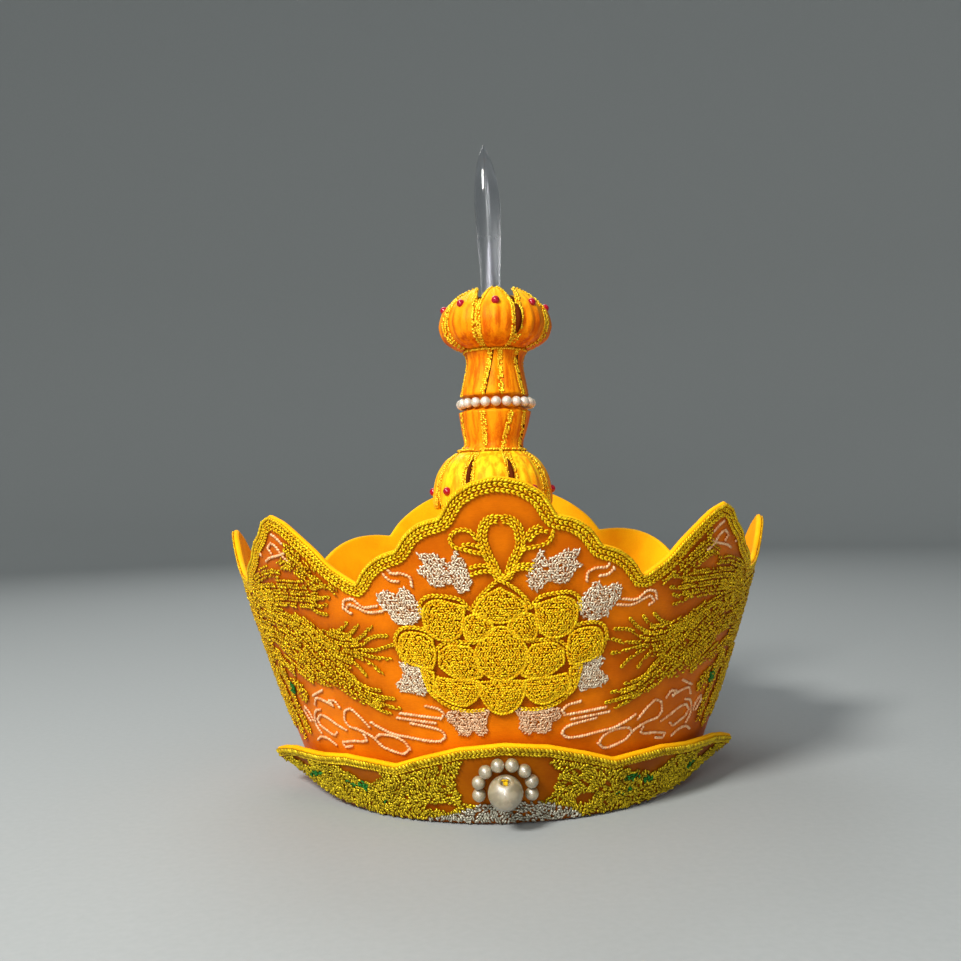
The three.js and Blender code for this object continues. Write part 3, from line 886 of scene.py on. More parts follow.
def lotus_work(centre, name):
    """The lotus with its bud and silver leaves, on the leaf whose middle is at centre."""
    gold = Stitching(on_wall, 0.45, under_braid)
    for petal in shifted(LOTUS_PETALS + both_hands(LOTUS_PAIRS), centre):
        gold.fill(petal, grow=0.9, pitch=1.0, length=1.7, width=0.78, dome=1.2)
        edge = inwards(drawn(petal, FINE, closed=True), -0.45)
        gold.row(edge, pitch=1.15, slant=0.45, length=2.1, width=1.05, lift=0.95)
    for rope in shifted(LOTUS_ROPES + both_hands(LOTUS_ROPE_PAIRS) + BUD_CORDS, centre):
        gold.chain(drawn(rope, 0.8), lift=0.7)
    for strand in shifted(BUD_STRANDS, centre):
        for aside in (-0.95, 0.95):
            gold.chain(beside(drawn(strand, 0.8), aside))
    WORKED.extend(gold.spots)
    gold.done(name + "_gold", GOLD)
    for leaves, finish, material in (
        (SILVER_LEAVES, "_silver", SILVER),
        (ROSE_LEAVES, "_rose", ROSE),
    ):
        work = Stitching(on_wall, 0.45, under_braid, missing=0.04)
        for leaf in shifted(both_hands(leaves), centre):
            work.fill(leaf, length=2.1, width=0.8, dome=0.4)
        work.done(name + finish, material)


# ---- phoenix and clouds


# Each band is a row of (across, up, half width) along its middle.
PHOENIX_BANDS = [
    [(57, 72, 2), (62, 71.5, 5), (68, 72, 5), (76, 74.5, 3.6), (84, 79, 2.6), (94, 82, 2.4),
     (104, 84, 2.4), (113, 85, 2)],
    [(50, 48.5, 1), (57, 50, 3), (64, 53.5, 4.4), (72, 58, 5), (80, 64, 5), (88, 70, 4.6),
     (96, 75, 4), (106, 78.5, 3), (116, 79, 2.4)],
    [(63, 64, 0.9), (70, 66.5, 2.6), (78, 71.5, 2.6), (86, 76.5, 1.8), (93, 79.5, 0.9)],
    [(75, 54.5, 1), (83, 57.5, 3.4), (91, 62.5, 4.4), (100, 67.5, 4.2), (109, 71, 3.6),
     (119, 72, 3)],
    [(72, 91, 2), (77, 91.5, 5), (85, 91.5, 6), (94, 91.5, 5.6), (104, 91, 4.6),
     (114, 90, 3.4), (122, 88, 2)],
    [(62, 93.5, 1.2), (67, 97.5, 3.2), (73, 102.5, 3.8), (79, 107.4, 3.8), (85, 111.5, 2.8)],
    [(72, 97, 1.6), (79, 101.5, 3.2), (86, 105.2, 3), (91, 103, 1.4)],
    [(92, 99.6, 1.6), (100, 99.6, 2), (108, 98, 2), (116, 96, 1.6)],
    [(104, 56.5, 0.9), (112, 61, 2.6), (121, 64, 2.6), (127, 64, 1.6)],
    [(114, 49, 1.6), (119, 53, 3), (124, 56, 2)],
    [(111, 54, 1), (107, 52, 1.6), (104, 48.5, 3.6), (99.5, 46.5, 2.4)],
    [(119, 60, 2), (117, 54, 3.4), (114.5, 44, 2.8), (112.5, 36, 2.6), (110.5, 29, 1.8)],
    [(136, 62, 3), (132, 52, 5), (128, 42, 5), (124, 32, 4), (121, 25, 2)],
    [(148, 58, 3), (144, 48, 5), (139, 38, 5), (134, 28, 3)],
    [(98, 90, 1.4), (106, 89, 3), (116, 93, 5), (128, 97, 5.4), (140, 98, 5), (150, 97, 3)],
    [(106, 82, 2), (118, 84, 4.6), (130, 86, 5.6), (142, 88, 5.6), (152, 89, 3)],
    [(112, 74, 2), (122, 74, 4.6), (134, 75, 5.6), (146, 76, 5.4), (154, 77, 3)],
    [(120, 65, 3), (130, 64, 5), (140, 65, 5.4), (150, 66, 3)],
]
PHOENIX_FINGERS = [
    [(50, 80), (54, 76.5), (60, 73.5)],
    [(56, 80.5), (59, 77.5), (63, 75.5)],
    [(61, 81), (65, 78), (70, 76.5)],
    [(44, 76.5), (50, 75.8), (56, 72.5)],
    [(42, 73), (49, 70.8), (56, 70.3)],
    [(44, 67), (51, 67.6), (58, 68.8)],
    [(49, 61), (53, 64.6), (60, 67.8)],
    [(57, 60), (60, 63.6), (65, 67)],
    [(63, 58), (66, 61), (70, 64)],
    [(46, 51), (51, 51.3), (57, 52.3)],
    [(44, 47), (49, 47.6), (56, 48.5)],
    [(49, 44.5), (54, 46), (60, 49)],
    [(52, 54), (57, 54.6), (63, 57)],
    [(65, 95), (69, 95.3), (74, 94)],
    [(67, 91), (71, 90.5), (76, 91)],
    [(69, 88), (72, 87), (76, 88)],
    [(70, 84), (74, 84.5), (79, 87)],
    [(68, 70.5), (76, 75), (84, 80), (89, 83)],
    [(90, 55.5), (97, 58.5), (104, 61.5), (109, 63.5)],
    [(91, 53.8), (98, 56.6), (105, 59.4)],
]
GREEN_SPOTS = [[(110, 50.5), (113.5, 51), (115.5, 48), (112.5, 46.5), (110.5, 47.5)]]
CLOUD_CORDS = [
    [(31, 96), (31, 99), (34, 100.5), (38, 100.5), (40, 103), (41, 100), (39, 98), (36, 97.5)],
    [(44, 86), (50, 85.5), (55, 87.5), (58, 88.5), (60, 86), (58, 85)],
    [(46, 88), (52, 87.5), (56, 90.5), (60, 90), (61, 87)],
    [(44, 45), (38, 44.5), (32, 44), (26, 43.5), (24.5, 45.5), (27, 47.5), (32, 48.5)],
    [(46, 43), (40, 42.5), (34, 42), (29, 41.5)],
    [(40, 41), (33, 40), (27, 38.5), (25, 36), (28, 34), (34, 34), (42, 35), (50, 36),
     (57, 38.5), (60, 40)],
    [(43, 30), (45, 33), (50, 35), (57, 35), (60, 33), (57, 30), (50, 28), (46, 27.8),
     (43, 30)],
    [(62, 38), (66, 42), (70, 45), (74, 43.5), (76, 39.5), (74, 37), (68, 36), (62, 34),
     (58, 31)],
    [(66, 34), (65, 32), (68, 31), (74, 30.5), (82, 29), (81, 27), (76, 28)],
    [(77, 35), (83, 37), (88, 39), (93, 39.5), (97, 37), (96, 34.5), (92, 33), (87, 31.5),
     (84, 33)],
    [(77, 45), (79, 47.5), (83, 47), (81, 45), (86, 46.5), (92, 47), (95, 44)],
    [(102, 36), (103, 39), (106, 41.5), (108, 39), (105, 35.5)],
    [(86, 51), (90, 49.5), (94, 48)],
    [(98, 31), (100, 34), (99, 38), (96, 41), (92, 42)],
    [(88, 27), (93, 29), (99, 29), (104, 27)],
    [(84, 104.5), (87, 106.5), (90, 110.5), (93, 112), (96, 110), (94.5, 108)],
    [(86, 112), (89, 114.5), (92, 116), (96, 113), (101, 109.5), (103, 107)],
    [(86, 108), (90, 107), (96, 106), (100, 104.5)],
]


def feather_rows(work, band, gap=1.3):
    """Loose rows of slanting stitches along a band that swells and tapers."""
    line = drawn(band, FINE)
    chart, half = line[:, :2], line[:, 2]
    ahead = headings(chart)
    heading = np.arctan2(ahead[:, 1], ahead[:, 0])
    count = int(half.max() / gap + 1)
    for k in range(-count, count + 1):
        at = np.arange(dice.integers(0, 3), len(chart), 3)
        at = at[np.abs(k * gap) <= half[at] + dice.uniform(-0.5, 0.9)]
        hand = 1 if k % 2 else -1
        aside = k * gap + hand * 0.15 + dice.uniform(-0.2, 0.2, len(at))
        way = heading[at] + hand * 0.62 + dice.uniform(-0.4, 0.4, len(at))
        side = facing(heading[at] + math.pi / 2)
        lifts = work.lift + dice.uniform(-0.1, 0.5, len(at))
        work.lay(chart[at] + side * aside[:, None], facing(way), 2.0, 0.92, lifts)


def phoenix_work(name, place):
    """A phoenix, feathers and all, with its place given by a function of lines."""
    work = Stitching(on_wall, 0.45, under_braid, missing=0.08)
    for band in place(PHOENIX_BANDS):
        feather_rows(work, band)
    for finger in place(PHOENIX_FINGERS):
        work.chain(drawn(finger, 0.7))
    WORKED.extend(work.spots)
    work.done(name + "_gold", PLUME_GOLD)
    green = Stitching(on_wall, 0.8, under_braid)
    for spot in place(GREEN_SPOTS):
        green.fill(spot, length=1.7)
    green.done(name + "_green", GREEN)
    clouds = Stitching(on_wall, 0.4, under_braid)
    for cord in place(CLOUD_CORDS):
        clouds.row(drawn(cord, 0.6), pitch=1.2, slant=0.5, length=2.1, width=1.15)
    clouds.done(name + "_clouds", PEACH)


# ---- the flap


FLAP_BOARD_INSET = 2.3
FLAP_ENDS = FLAP[0, 0] * CHART_RADIUS, FLAP[-1, 0] * CHART_RADIUS


def flap_stations(step=1.1):
    """Distances across the flap's chart, from end to end."""
    start, end = FLAP_ENDS
    return np.linspace(start, end, int((end - start) / step))


def flap_lining():
    """The flap's board, rolled over along its upper edge."""
    half = (BINDING + FLAP_BOARD_INSET) / 2
    sections = []
    for across in flap_stations():
        long = flap_length(across)
        section = [(drop, -LINING_INSET) for drop in np.linspace(long, half + 1.2, 4)]
        section += [(half - rise, out) for rise, out in rolled(half)]
        section += [(drop, -FLAP_BOARD_INSET) for drop in np.linspace(half + 2, long, 5)]
        sections.append([on_flap((across, drop), out) for drop, out in section])
    thing = shell("flap_board", sections, LINING_CLOTH)
    told(thing, "lining_cloth", "flap_lining", fill=0.8)


def flap_satin():
    """The flap's satin, painted darker for shade, close on its board."""
    sections = []
    for across in flap_stations():
        drops = np.linspace(flap_length(across), 1.8, 8)
        chart = np.stack([np.full(8, across), drops], 1)
        sections.append(np.vstack([on_flap(chart), on_flap(chart[::-1], -SATIN_BACK)]))
    thing = shell("flap_satin", sections, SHADED_FLAP_SATIN)
    told(thing, "embroidered_satin", "flap_panel")
    long = flap_length(flap_stations()) * MM
    wide = (FLAP[-1, 0] - FLAP[0, 0]) * (FLAP[:, 2].mean() + STRETCH / 2 + 4) * MM
    area = wide * long.mean()


def flap_edge():
    """The whipped cord and the chain rows under the flap's upper edge."""
    work = Stitching(on_flap, lift=0.55)
    stations = flap_stations(0.8)[2:-2]

    def level(drop):
        return spots(stations, drop, 0)[flap_length(stations) > drop + 1, :2]

    work.row(level(1.5), pitch=1.75, slant=0.95, length=3.1, width=1.45, lift=0.8)
    work.chain(level(3.4), pitch=1.7, spread=0.42, length=2.4, width=0.9)
    work.done("flap_edge_braid", FLAP_CORD, "flap_braid")


# Fields of the flap as (across, share of its length up from the table).
BARE_FIELDS = [
    [(-19, 0.30), (-22, 0.62), (-17, 0.84), (0, 0.90), (17, 0.85), (24, 0.68), (20, 0.34),
     (8, 0.2), (-8, 0.2)],
    [(53, 0.86), (60, 0.70), (66, 0.645), (74, 0.56), (78, 0.59), (85, 0.73), (90, 0.79),
     (80, 0.86), (66, 0.82)],
    [(-85, 0.76), (-78, 0.84), (-58, 0.82), (-57, 0.73), (-63, 0.62), (-72, 0.59),
     (-78, 0.70)],
    [(108, 0.6), (113, 0.72), (124, 0.72), (130, 0.56), (120, 0.5), (112, 0.5)],
    [(-129, 0.58), (-124, 0.78), (-112, 0.76), (-109, 0.6), (-118, 0.52)],
    [(32, 0.24), (33, 0.36), (37, 0.41), (40, 0.36), (38, 0.24)],
    [(-38, 0.20), (-36, 0.29), (-28, 0.30), (-22, 0.26), (-26, 0.18)],
    [(26.5, 0.50), (28, 0.57), (30, 0.52)],
    [(30, 0.70), (32, 0.76), (34, 0.71)],
    [(-29, 0.52), (-27, 0.57), (-25, 0.50)],
    [(-35, 0.56), (-33, 0.62), (-31, 0.56)],
    [(-48, 0.40), (-46, 0.47), (-43, 0.42)],
    [(44, 0.50), (47, 0.56), (49, 0.50)],
]
SILVER_FIELD = [(-38, 0), (-36, 0.08), (-22, 0.15), (-12, 0.26), (4, 0.29), (20, 0.26),
                (30, 0.16), (38, 0)]
GREEN_FIELDS = [
    [(-73.5, 0.44), (-73, 0.56), (-69, 0.60), (-66.5, 0.52), (-69, 0.42)],
    [(-84, 0.53), (-80, 0.55), (-74, 0.46), (-78, 0.42)],
    [(-59.5, 0.26), (-58, 0.33), (-56, 0.29)],
    [(-120, 0.15), (-118, 0.28), (-110, 0.46), (-101, 0.60), (-100, 0.54), (-108, 0.38)],
    [(55, 0.58), (58, 0.65), (63, 0.62), (66, 0.58), (62, 0.52), (57, 0.53)],
    [(67, 0.46), (70, 0.54), (75, 0.48), (75, 0.41), (70, 0.41)],
    [(52, 0.29), (54, 0.37), (57, 0.31)],
    [(59, 0.33), (60, 0.40), (62, 0.36)],
    [(100, 0.40), (106, 0.52), (110, 0.46), (104, 0.36)],
]


def flap_work():
    """Close knotted gold over the flap, with bare fields, silver at the foot and green leaves."""
    points, _ = close_grid((FLAP_ENDS[0] + 2, 5.3), (FLAP_ENDS[1] - 2, 34), 1.3, loose=0.36)
    long = flap_length(points[:, 0])
    held = points[:, 1] < long - 0.8
    points, long = points[held], long[held]
    chart = np.stack([points[:, 0], 1 - points[:, 1] / long], 1)
    bare = np.any([within(chart, field) for field in BARE_FIELDS], axis=0)
    silver = within(chart, SILVER_FIELD)
    green = np.any([within(chart, field) for field in GREEN_FIELDS], axis=0) & ~bare
    gold = ~(bare | silver | green)
    across, drop = points.T
    way = 1.2 * np.sin(across / 6.5) + 1.1 * np.cos(drop / 3.4 + across / 11)  # it wanders
    ahead = facing(way + dice.uniform(-0.7, 0.7, len(way)))
    heap = 0.4 + 0.5 * dice.uniform(size=len(way))
    for name, chosen, material in (
        ("flap_gold", gold, FLAP_GOLD),
        ("flap_silver", silver, GREY),
        ("flap_green", green, GREEN),
    ):
        work = Stitching(on_flap, 0.5, missing=0.07)
        work.lay(points[chosen], ahead[chosen], 2.0, 1.0, heap[chosen])
        work.done(name, material)


# ---- the cap


CAP_THICK = 2.0
CAP_GORES = 8
GORE_SEAM, GORE_SEAM_WIDE = 0.9, 0.03  # millimetres deep, and a share of a gore's width
GORE_FLAT = 0.5  # a gore lies this much flatter for each of its widths away from a seam
OVAL_GIRTH = 1.03  # the oval's girth over a round one's
DOME_SHARE = 0.66  # the dome's surface over that of a strip of its girth and rise


def cap_dome():
    """The cap of eight gores, drawn in a little along its seams."""
    rises = np.linspace(0, math.pi / 2 - 0.02, 30)
    rings = []
    for turn in round_turns(160):
        off = (turn / (2 * math.pi) * CAP_GORES + 0.5) % 1 - 0.5
        groove = GORE_SEAM * math.exp(-((off / GORE_SEAM_WIDE) ** 2)) + GORE_FLAT * abs(off)
        ring = []
        for outer in (True, False):
            for rise in rises if outer else rises[::-1]:
                less = groove * math.cos(rise) if outer else CAP_THICK
                radius = (CAP_SIDE - less) * math.cos(rise)
                height = (CAP_TOP - (0 if outer else CAP_THICK)) * math.sin(rise)
                stretch = (CAP_SIDE + STRETCH * math.cos(rise)) / CAP_SIDE
                ring.append(
                    (radius * math.sin(turn), -radius * stretch * math.cos(turn), height)
                )
        rings.append(ring)
    thing = shell("cap_cloth", rings, CAP_CLOTH, ring=True)
    told(thing, "cap_cloth", "cap_dome")
    wide, tall = CAP_SIDE * MM, CAP_TOP * MM
    along = math.pi / 2 * math.sqrt((wide**2 + tall**2) / 2)
    girth = 2 * math.pi * wide * OVAL_GIRTH
    girth * along * DOME_SHARE


# ---- the finial


SAME_LEVEL = 0.25  # millimetres between heights of one row of vertices, at most


def levels(*nodes):
    """Rows of CAD vertices from the bottom up: height, middle across, and half the width."""
    points = np.vstack([corners(node) for node in nodes])
    points = points[np.argsort(points[:, 2])]
    breaks = np.nonzero(np.diff(points[:, 2]) > SAME_LEVEL)[0] + 1
    rows = []
    for group in np.split(points, breaks):
        low, high = group[:, 0].min(), group[:, 0].max()
        rows.append((group[:, 2].mean(), (low + high) / 2, (high - low) / 2))
    return np.array(rows)


LOWER_PETALS = [f"lotus_lower_petal_{k}" for k in range(1, 9)]
UPPER_PETALS = [f"lotus_upper_petal_{k}" for k in range(1, 9)]
LOWER_NECK, UPPER_NECK, SPIKE = levels("neck_lower"), levels("neck_upper"), levels("spike")
LEAN = np.vstack([levels(*LOWER_PETALS)[:3], LOWER_NECK, UPPER_NECK, levels(*UPPER_PETALS)[:3]])
PETAL_CHART = 9  # a petal's chart runs this far from its middle to its edge
NECK_CHART = 15  # an angle round a neck times this is a distance across its chart
NECK_BORE = 3.0
SEAM_DEPTH, SEAM_WIDE = 0.8, 0.1  # millimetres, and radians round the neck


def lean(height):
    """How far the finial's middle stands to the right at a height."""
    return np.interp(height, LEAN[:, 0], LEAN[:, 1])


def on_finial(angle, radius, height):
    """Places round the finial's leaning middle."""
    return spots(lean(height) + radius * np.sin(angle), -radius * np.cos(angle), height)


class Petal:
    """A stuffed petal: rows of (height above the ring's foot, reach, share of the width)."""

    half = math.radians(22.3)
    thick = 2.3
    curl = 1.5  # how far the edges lie behind the middle
    fold = 0.4  # depth of the soft folds along the petal

    def __init__(self, node, rows, turn):
        foot = box(node)[0][2]
        line = drawn(rows, 0.8, corner=80)
        self.height, self.reach, self.share = line[:, 0] + foot, line[:, 1], line[:, 2]
        self.turn = math.radians(turn)
        self.out = np.array([math.sin(self.turn), -math.cos(self.turn), 0])

    def at(self, across, height, side=1.0):
        """A place on the petal's face, across from -1 to 1. A side of -1 is its inner face."""
        share = np.interp(height, self.height, self.share)
        reach = np.interp(height, self.height, self.reach)
        puff = self.thick / 2 * np.sqrt(np.clip(1 - np.abs(across) ** 6, 0, 1))
        soft = np.cos(across * 12 + self.turn * 5) * np.clip(1.1 - np.abs(across), 0, 1)
        radius = reach - self.thick / 2 - self.curl * across**2 * share + side * puff
        radius = radius + self.fold * soft
        return on_finial(self.turn + across * share * self.half, radius, height)

    def face(self, chart):
        """Chart points (across, up) on the outer face."""
        chart = np.asarray(chart, float)
        return self.at(chart[..., 0] / PETAL_CHART, chart[..., 1])

    def solid(self, name, material):
        across = np.sin(np.linspace(-1, 1, 27) * math.pi / 2)
        sections = [
            np.vstack([self.at(across, height), self.at(across[::-1][1:-1], height, -1)])
            for height in self.height
        ]
        return shell(name, sections, material)


# Heights from the ring's foot, reach from the finial's middle, and share of the full width.
LOWER_ROWS = [(0, 27.6, 0.1), (1.2, 28.4, 0.42), (3.6, 28.9, 0.7), (9.4, 28.5, 0.96),
              (16.4, 26.8, 1), (22.9, 22.8, 1), (27, 17.6, 1)]
UPPER_ROWS = [(0, 15.2, 1), (2, 20.6, 1), (4.8, 24.8, 0.98), (9, 26.8, 0.97), (13, 27.2, 0.98),
              (19.5, 25, 0.94), (25, 19.8, 0.66), (27.6, 16, 0.4), (28.8, 13.4, 0.1)]
LOWER_TURNS = [-2, 43, 90, 135, 180, 225, 270, 312]
UPPER_TURNS = [1, 46, 91, 136, 181, 226, 271, 319]


def lotus_ring(name, nodes, rows, turns, bead_height, material):
    """Eight stuffed petals with gold cord along their edges and a crimson bead on each."""
    cords = []
    for k, turn in enumerate(turns):
        petal = Petal(nodes[k], rows, turn)
        told(petal.solid(f"{name}_petal_{k + 1}", material), "petal_cloth", nodes[k], fill=0.9)
        work = Stitching(petal.face, lift=0.3, missing=0.12)
        heights = np.arange(petal.height[1], petal.height[-2], 0.5)
        for hand, inset in ((-1, 8.3), (1, 8.3), (-1, 7.1), (1, 7.1)):
            line = np.stack([hand * inset + dice.uniform(-0.4, 0.4, len(heights)), heights], 1)
            work.row(line, pitch=1.0, slant=hand * 0.7, length=1.8, width=1.25)
        cords += work.batches
        spot = petal.at(0.0, bead_height) + petal.out * 0.2
        bead(f"{name}_bead_{k + 1}", spot, 2.0, CRIMSON, "petal_cloth")
    joined = Stitching(None)
    joined.batches = cords
    joined.done(name + "_cords", GLITTER)


def petal_slit(name, rows, node, turn, low, high, wide):
    """The painted shadow of a fold between two petals, a dark cord widest halfway up."""
    petal = Petal(node, rows, turn)
    line = petal.at(0.0, np.linspace(low, high, 24))
    swell = np.sin(np.linspace(0, math.pi, 24)) ** 0.6
    shadow_cord(name, line - petal.out * 0.75, wide * swell + 0.1, "petal_cloth")


def bead(name, at, radius, material, slot, *nodes, axis=(0, 0, 1), hole=0.0):
    """A round bead, bored a little way in from one end where it has a hole."""
    start = math.asin(hole / radius) if hole else 0.0
    profile = [
        (radius * math.sin(t), radius * math.cos(t)) for t in np.linspace(math.pi, start, 15)
    ]
    if hole:
        lip = radius * math.cos(start)
        profile += [(hole * 0.8, lip - 0.25), (hole * 0.7, lip - 1.6), (0, lip - 1.8)]
    thing = turned(name, profile, 24, material)
    aim = Vector(axis).to_track_quat("Z", "Y").to_matrix().to_4x4()
    thing.data.transform(aim)
    thing.data.transform(Matrix.Translation(Vector(np.asarray(at, float) * MM)))
    told(thing, slot, *nodes)


# Each seam's angle at the foot and at the top of its neck, and whether a slit runs beside it.
LOWER_SEAMS = [(-71, -69, False), (-15, -20, False), (17, 30, False), (63, 52, True),
               (103, 103, False), (147, 147, True), (-169, -169, False), (-118, -118, True)]
UPPER_SEAMS = [(-68, -90, False), (-22, -8, True), (13, 9, False), (59, 43, True),
               (100, 95, False), (145, 145, True), (-170, -170, False), (-120, -124, False)]


class Neck:
    """A fluted neck, drawn in along its seams."""

    def __init__(self, node, seams):
        rows = levels(node)
        self.line = drawn(rows[:, [0, 2]], 0.9, corner=70)
        self.node, self.seams = node, seams
        self.foot, self.top = rows[0, 0], rows[-1, 0]

    def seam_angle(self, seam, height):
        """Where a seam lies round the neck at a height."""
        share = (height - self.foot) / (self.top - self.foot)
        return np.radians(seam[0] + (seam[1] - seam[0]) * share)

    def at(self, angle, height, out=0.0):
        """A place on the neck, lifted off its face."""
        radius = np.interp(height, self.line[:, 0], self.line[:, 1])
        for seam in self.seams:
            off = (angle - self.seam_angle(seam, height) + math.pi) % (2 * math.pi) - math.pi
            radius = radius - SEAM_DEPTH * np.exp(-((off / SEAM_WIDE) ** 2))
        return on_finial(angle, radius + out, height)

    def face(self, chart):
        """Chart points (across, up) on the neck."""
        chart = np.asarray(chart, float)
        return self.at(chart[..., 0] / NECK_CHART, chart[..., 1])

    def solid(self):
        ends = np.array([self.top, self.foot])
        sections = [
            np.vstack([self.at(turn, self.line[:, 0]), on_finial(turn, NECK_BORE, ends)])
            for turn in round_turns(120)
        ]
        thing = shell(self.node + "_cloth", sections, NECK_SATIN, ring=True)
        told(thing, "neck_cloth", self.node, fill=0.9)

    def trim(self, low, high, rings):
        """Gold cord along the seams from low to high and round each ring's height."""
        work = Stitching(self.face, lift=0.35, missing=0.2)
        for seam in self.seams:
            heights = np.arange(low, high, 0.6)
            angle = self.seam_angle(seam, heights)
            for aside in (-0.9, 0.0, 0.9):
                loose = dice.uniform(-0.25, 0.25, len(heights))
                line = np.stack([angle * NECK_CHART + aside + loose, heights], 1)
                work.row(line, pitch=1.0, slant=0.7, length=1.8, width=1.1)
            if seam[2]:
                # a slit beside the seam is shown by a dark cord of painted shadow
                slit = self.at(angle + 1.3 / NECK_CHART, heights, 0.1)
                shadow_cord(f"{self.node}_slit_{seam[0] % 360}", slit, 0.4, "neck_cloth")
        for height in rings:
            line = spots(np.arange(0, 2 * math.pi * NECK_CHART, 0.8), height, 0)[:, :2]
            work.row(line, pitch=1.1, slant=0.6, length=1.8, width=1.2)
        work.done(self.node + "_cords", GLITTER)


def shadow_cord(name, line, radius, slot):
    """Painted shadow in a fold: a dark round cord along places, of one radius or one for each."""
    ahead = headings(line)
    side = unit(np.cross(ahead, [0.31, 0.2, 0.93]))
    up = np.cross(side, ahead)
    turns = round_turns(7)
    radii = np.broadcast_to(radius, len(line))
    sections = [
        p + r * (np.outer(np.cos(turns), s) + np.outer(np.sin(turns), u))
        for p, r, s, u in zip(line, radii, side, up)
    ]
    told(shell(name, sections, SHADOW_CLOTH), slot)


HEART_INSET = 4.2  # the dark core lies this far inside the petals' outer reach
HEART_BORE = 3.2


def lotus_heart(name, foot, top, rows):
    """A dark core of painted shadow that shows between a lotus's petals, from foot up to top at
    most.
    """
    line = drawn([(row[0] + foot, row[1] - HEART_INSET) for row in rows], 1.2)
    line = line[(line[:, 0] < top) & (line[:, 1] > HEART_BORE + 0.2)]
    profile = [(HEART_BORE, line[0, 0])]
    profile += [(r, z) for z, r in line] + [(HEART_BORE, line[-1, 0])]
    at = lean(foot + 10), 0, 0
    told(turned(name, profile, 48, SHADOW_CLOTH, at), "petal_cloth")


BORE = 2.3  # radius of the bore in the spike
TIP_FROM = 290  # the spike has no bore above this height
BITE = 0.05  # the bore lies this far inside the pin's skin, so that no air shows
POINT = 0.06  # radius left at the pin's point
POINT_LONG = 45  # length of the pin's point


def spike():
    """The clear spike, with its bore close round the pin."""
    outer = SPIKE[(SPIKE[:, 2] > BORE + 0.4) | (SPIKE[:, 0] > TIP_FROM)]
    rows = [(z, x, max(r, 0.02)) for z, x, r in drawn(outer, 1.2, corner=80)]
    pin_top = box("finial_pin")[1][2]
    bore = [(rows[0][0], 0, BORE - BITE)]
    bore += [(z, 0, r - BITE) for z, r in pin_point(pin_top, BORE)]
    sections = [
        [(x + r * math.cos(t), r * math.sin(t), z) for z, x, r in rows[::-1] + bore]
        for t in round_turns(48)
    ]
    thing = shell("clear_spike", sections, CLEAR, ring=True)
    weld(thing)
    told(thing, "clear_rod", "spike")


def pin_point(top, wide):
    """The pin's long point, from the foot of its taper up: heights and radii."""
    left = 1 - np.linspace(0, 1, 16)
    return list(zip(top - POINT_LONG * left**1.5, wide * left**0.8 + POINT))


def pin():
    """The steel pin inside the finial, its upper end drawn to a long point."""
    low, high = box("finial_pin")
    wide, top = (high[0] - low[0]) / 2, high[2]
    profile = [(0, low[2]), (wide * 0.8, low[2]), (wide, low[2] + 0.5)]
    profile += [(r, z) for z, r in pin_point(top, wide - POINT)] + [(0, top)]
    told(turned("drawn_pin", profile, 32, STEEL), "pin_steel", "finial_pin")


def pearl(name, node, swell, material, **bored):
    """A pearl in place of a CAD node's, its radius a swell times that one's."""
    at, radius = ball(node)
    bead(name, at, radius * swell, material, "pearl", node, **bored)


def pearl_ring():
    """The pearls on their thread between the necks."""
    for k in range(1, 22):
        node = f"ring_pearl_{k}"
        at, _ = ball(node)
        out = at - [lean(at[2]), 0, at[2]]
        pearl(f"neck_pearl_{k}", node, 1.05, PEARL, axis=(-out[1], out[0], 0.1))


def flap_pearls():
    """The big pearl with its yellow thread, and the small ones round it."""
    for k in range(1, 9):
        pearl(f"arc_pearl_{k}", f"flap_pearl_{k}", 1.1, CREAM_PEARL)
    at, radius = ball("flap_pearl_big")
    tilt = math.radians(56)
    axis = np.array([0, -math.cos(tilt), math.sin(tilt)])
    pearl("big_pearl", "flap_pearl_big", 1.04, CREAM_PEARL, axis=axis, hole=2.4)
    eye = at + axis * (radius - 0.8)
    side, up = np.array([1, 0, 0]), np.cross([1, 0, 0], axis) * -1
    knot = Stitching(lambda p: eye + p[..., :1] * side + p[..., 1:] * up, lift=0.1)
    for k in range(14):
        spot = dice.uniform(-1, 1, 2) * [0.6, 1.1]
        knot.lay([spot], [(math.cos(1.9 * k), math.sin(1.9 * k))], length=2.0, width=0.9)
    knot.done("pearl_knot", YELLOW)


wall_lining()
edge_braid()
lotus_work(0, "front_lotus")
lotus_work(ROUND / 2, "back_lotus")
phoenix_work("right_phoenix", lambda lines: lines)
phoenix_work("left_phoenix", turned_over)
phoenix_work("right_rear_phoenix", lambda lines: turned_over(lines, 158))
phoenix_work("left_rear_phoenix", lambda lines: shifted(lines, -316))
satin_wall()
flap_lining()
flap_satin()
flap_edge()
flap_work()
cap_dome()
lower_foot, lower_top = (corner[2] for corner in box(LOWER_PETALS[0]))
upper_foot, upper_top = (corner[2] for corner in box(UPPER_PETALS[0]))
lotus_heart("lower_heart", lower_foot, lower_top + 1, LOWER_ROWS)
lotus_heart("upper_heart", upper_foot, upper_top - 5, UPPER_ROWS)
lotus_ring("lower_lotus", LOWER_PETALS, LOWER_ROWS, LOWER_TURNS, lower_foot + 8.6, TOP_LIT_PETAL)
lotus_ring("upper_lotus", UPPER_PETALS, UPPER_ROWS, UPPER_TURNS, upper_foot + 20.3, PETAL)
for turn in (-24.5, 20.5):
    petal_slit(f"lower_slit_{turn:.0f}", LOWER_ROWS, LOWER_PETALS[0], turn,
               lower_foot + 9, lower_foot + 23, 1.2)
petal_slit("upper_slit", UPPER_ROWS, UPPER_PETALS[0], 24.5, upper_foot + 5, upper_foot + 19, 1.6)
lower_neck, upper_neck = Neck("neck_lower", LOWER_SEAMS), Neck("neck_upper", UPPER_SEAMS)
lower_neck.solid()
upper_neck.solid()
lower_neck.trim(lower_neck.foot, lower_neck.top - 4, [lower_neck.foot + 0.6])
upper_neck.trim(upper_neck.foot + 4, upper_neck.top, [upper_neck.top - 0.4])
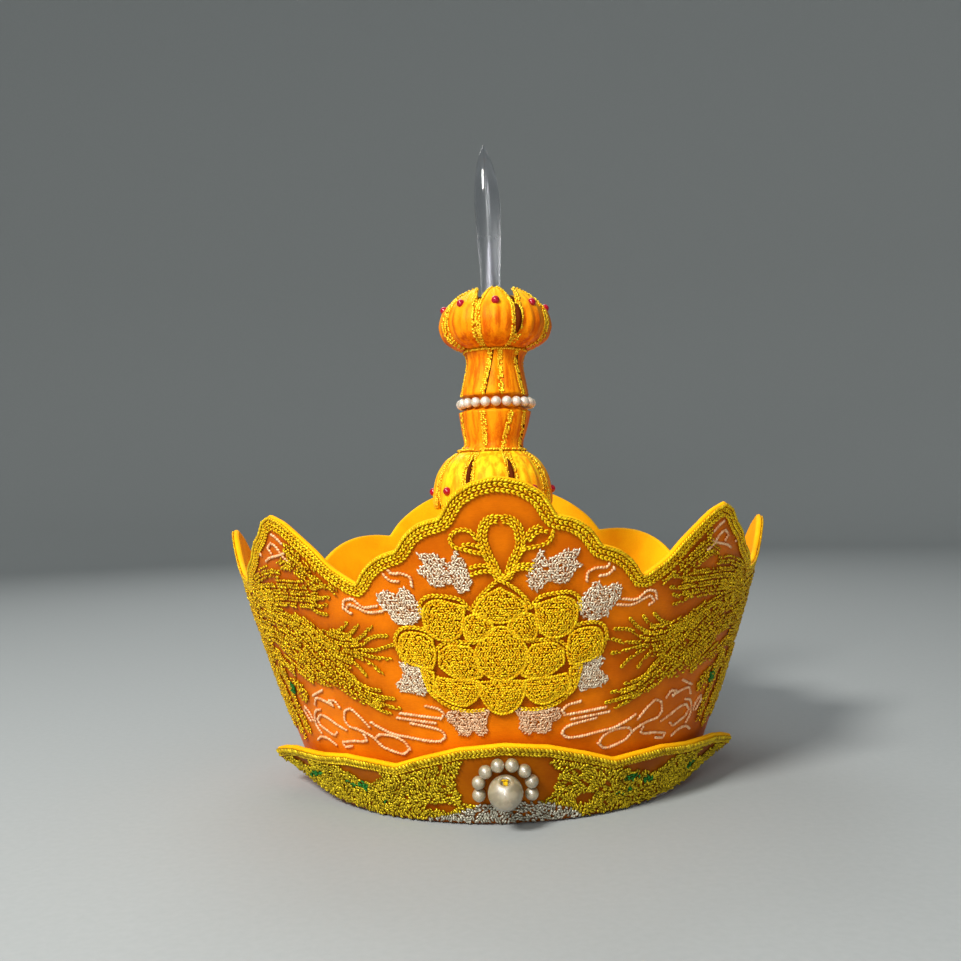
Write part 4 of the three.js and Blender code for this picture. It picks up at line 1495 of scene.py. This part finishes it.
spike()
pin()
pearl_ring()
flap_pearls()


# ---- camera, light and floor


def camera():
    """Close in front, level, rolled a little."""
    data = bpy.data.cameras.new("camera")
    data.sensor_width, data.lens, data.clip_start = 36, 38.25, 0.01
    data.shift_x, data.shift_y = -0.01695, 0.0183
    thing = placed("camera", data)
    thing.location = (0, -0.5, 0.1273)
    thing.rotation_euler = (math.radians(90), math.radians(1.7), 0)
    bpy.context.scene.camera = thing


def lamp(name, place, target, wide, tall, power, colour=(1, 1, 1)):
    """A soft oval lamp at a place, turned to its target."""
    data = bpy.data.lights.new(name, "AREA")
    data.shape = "ELLIPSE"
    data.size, data.size_y, data.energy, data.color = wide, tall, power, colour
    thing = placed(name, data)
    thing.location = place
    aim = Vector(target) - Vector(place)
    thing.rotation_euler = aim.to_track_quat("-Z", "Y").to_euler()


def floor():
    """A pale floor that sweeps up into a backdrop all round."""
    flat, bend, tall, sides = 1.9, 0.8, 2.2, 96
    turns = np.radians(range(5, 91, 5))
    profile = [(0.02, 0), (0.6, 0), (flat, 0)]
    profile += [(flat + bend * math.sin(t), bend - bend * math.cos(t)) for t in turns]
    profile += [(flat + bend, tall)]
    faces = grid_faces(sides, len(profile), wrap_across=True)
    faces.append(tuple(k * len(profile) for k in range(sides)))
    smooth_mesh("floor", lathe(profile, sides), faces, pale_floor())


def studio():
    """The floor, an even sky, a key lamp, a strip for long gleams and a lamp behind."""
    floor()
    world = bpy.data.worlds.new("studio")
    world.use_nodes = True
    sky = world.node_tree.nodes["Background"]
    sky.inputs["Color"].default_value = rgb(0.80, 0.85, 0.87)
    sky.inputs["Strength"].default_value = 0.4
    bpy.context.scene.world = world
    lamp("key", (-0.62, -0.95, 1.0), (0, 0, 0.1), 0.36, 0.36, 24, (1, 0.98, 0.94))
    lamp("strip", (-0.15, -1.4, 0.5), (0, 0, 0.15), 0.14, 1.3, 8.5)
    lamp("back", (-0.3, 1.0, 1.2), (0, 0, 0.1), 0.8, 0.8, 6)
    bpy.context.scene.view_settings.view_transform = "Standard"


camera()
studio()
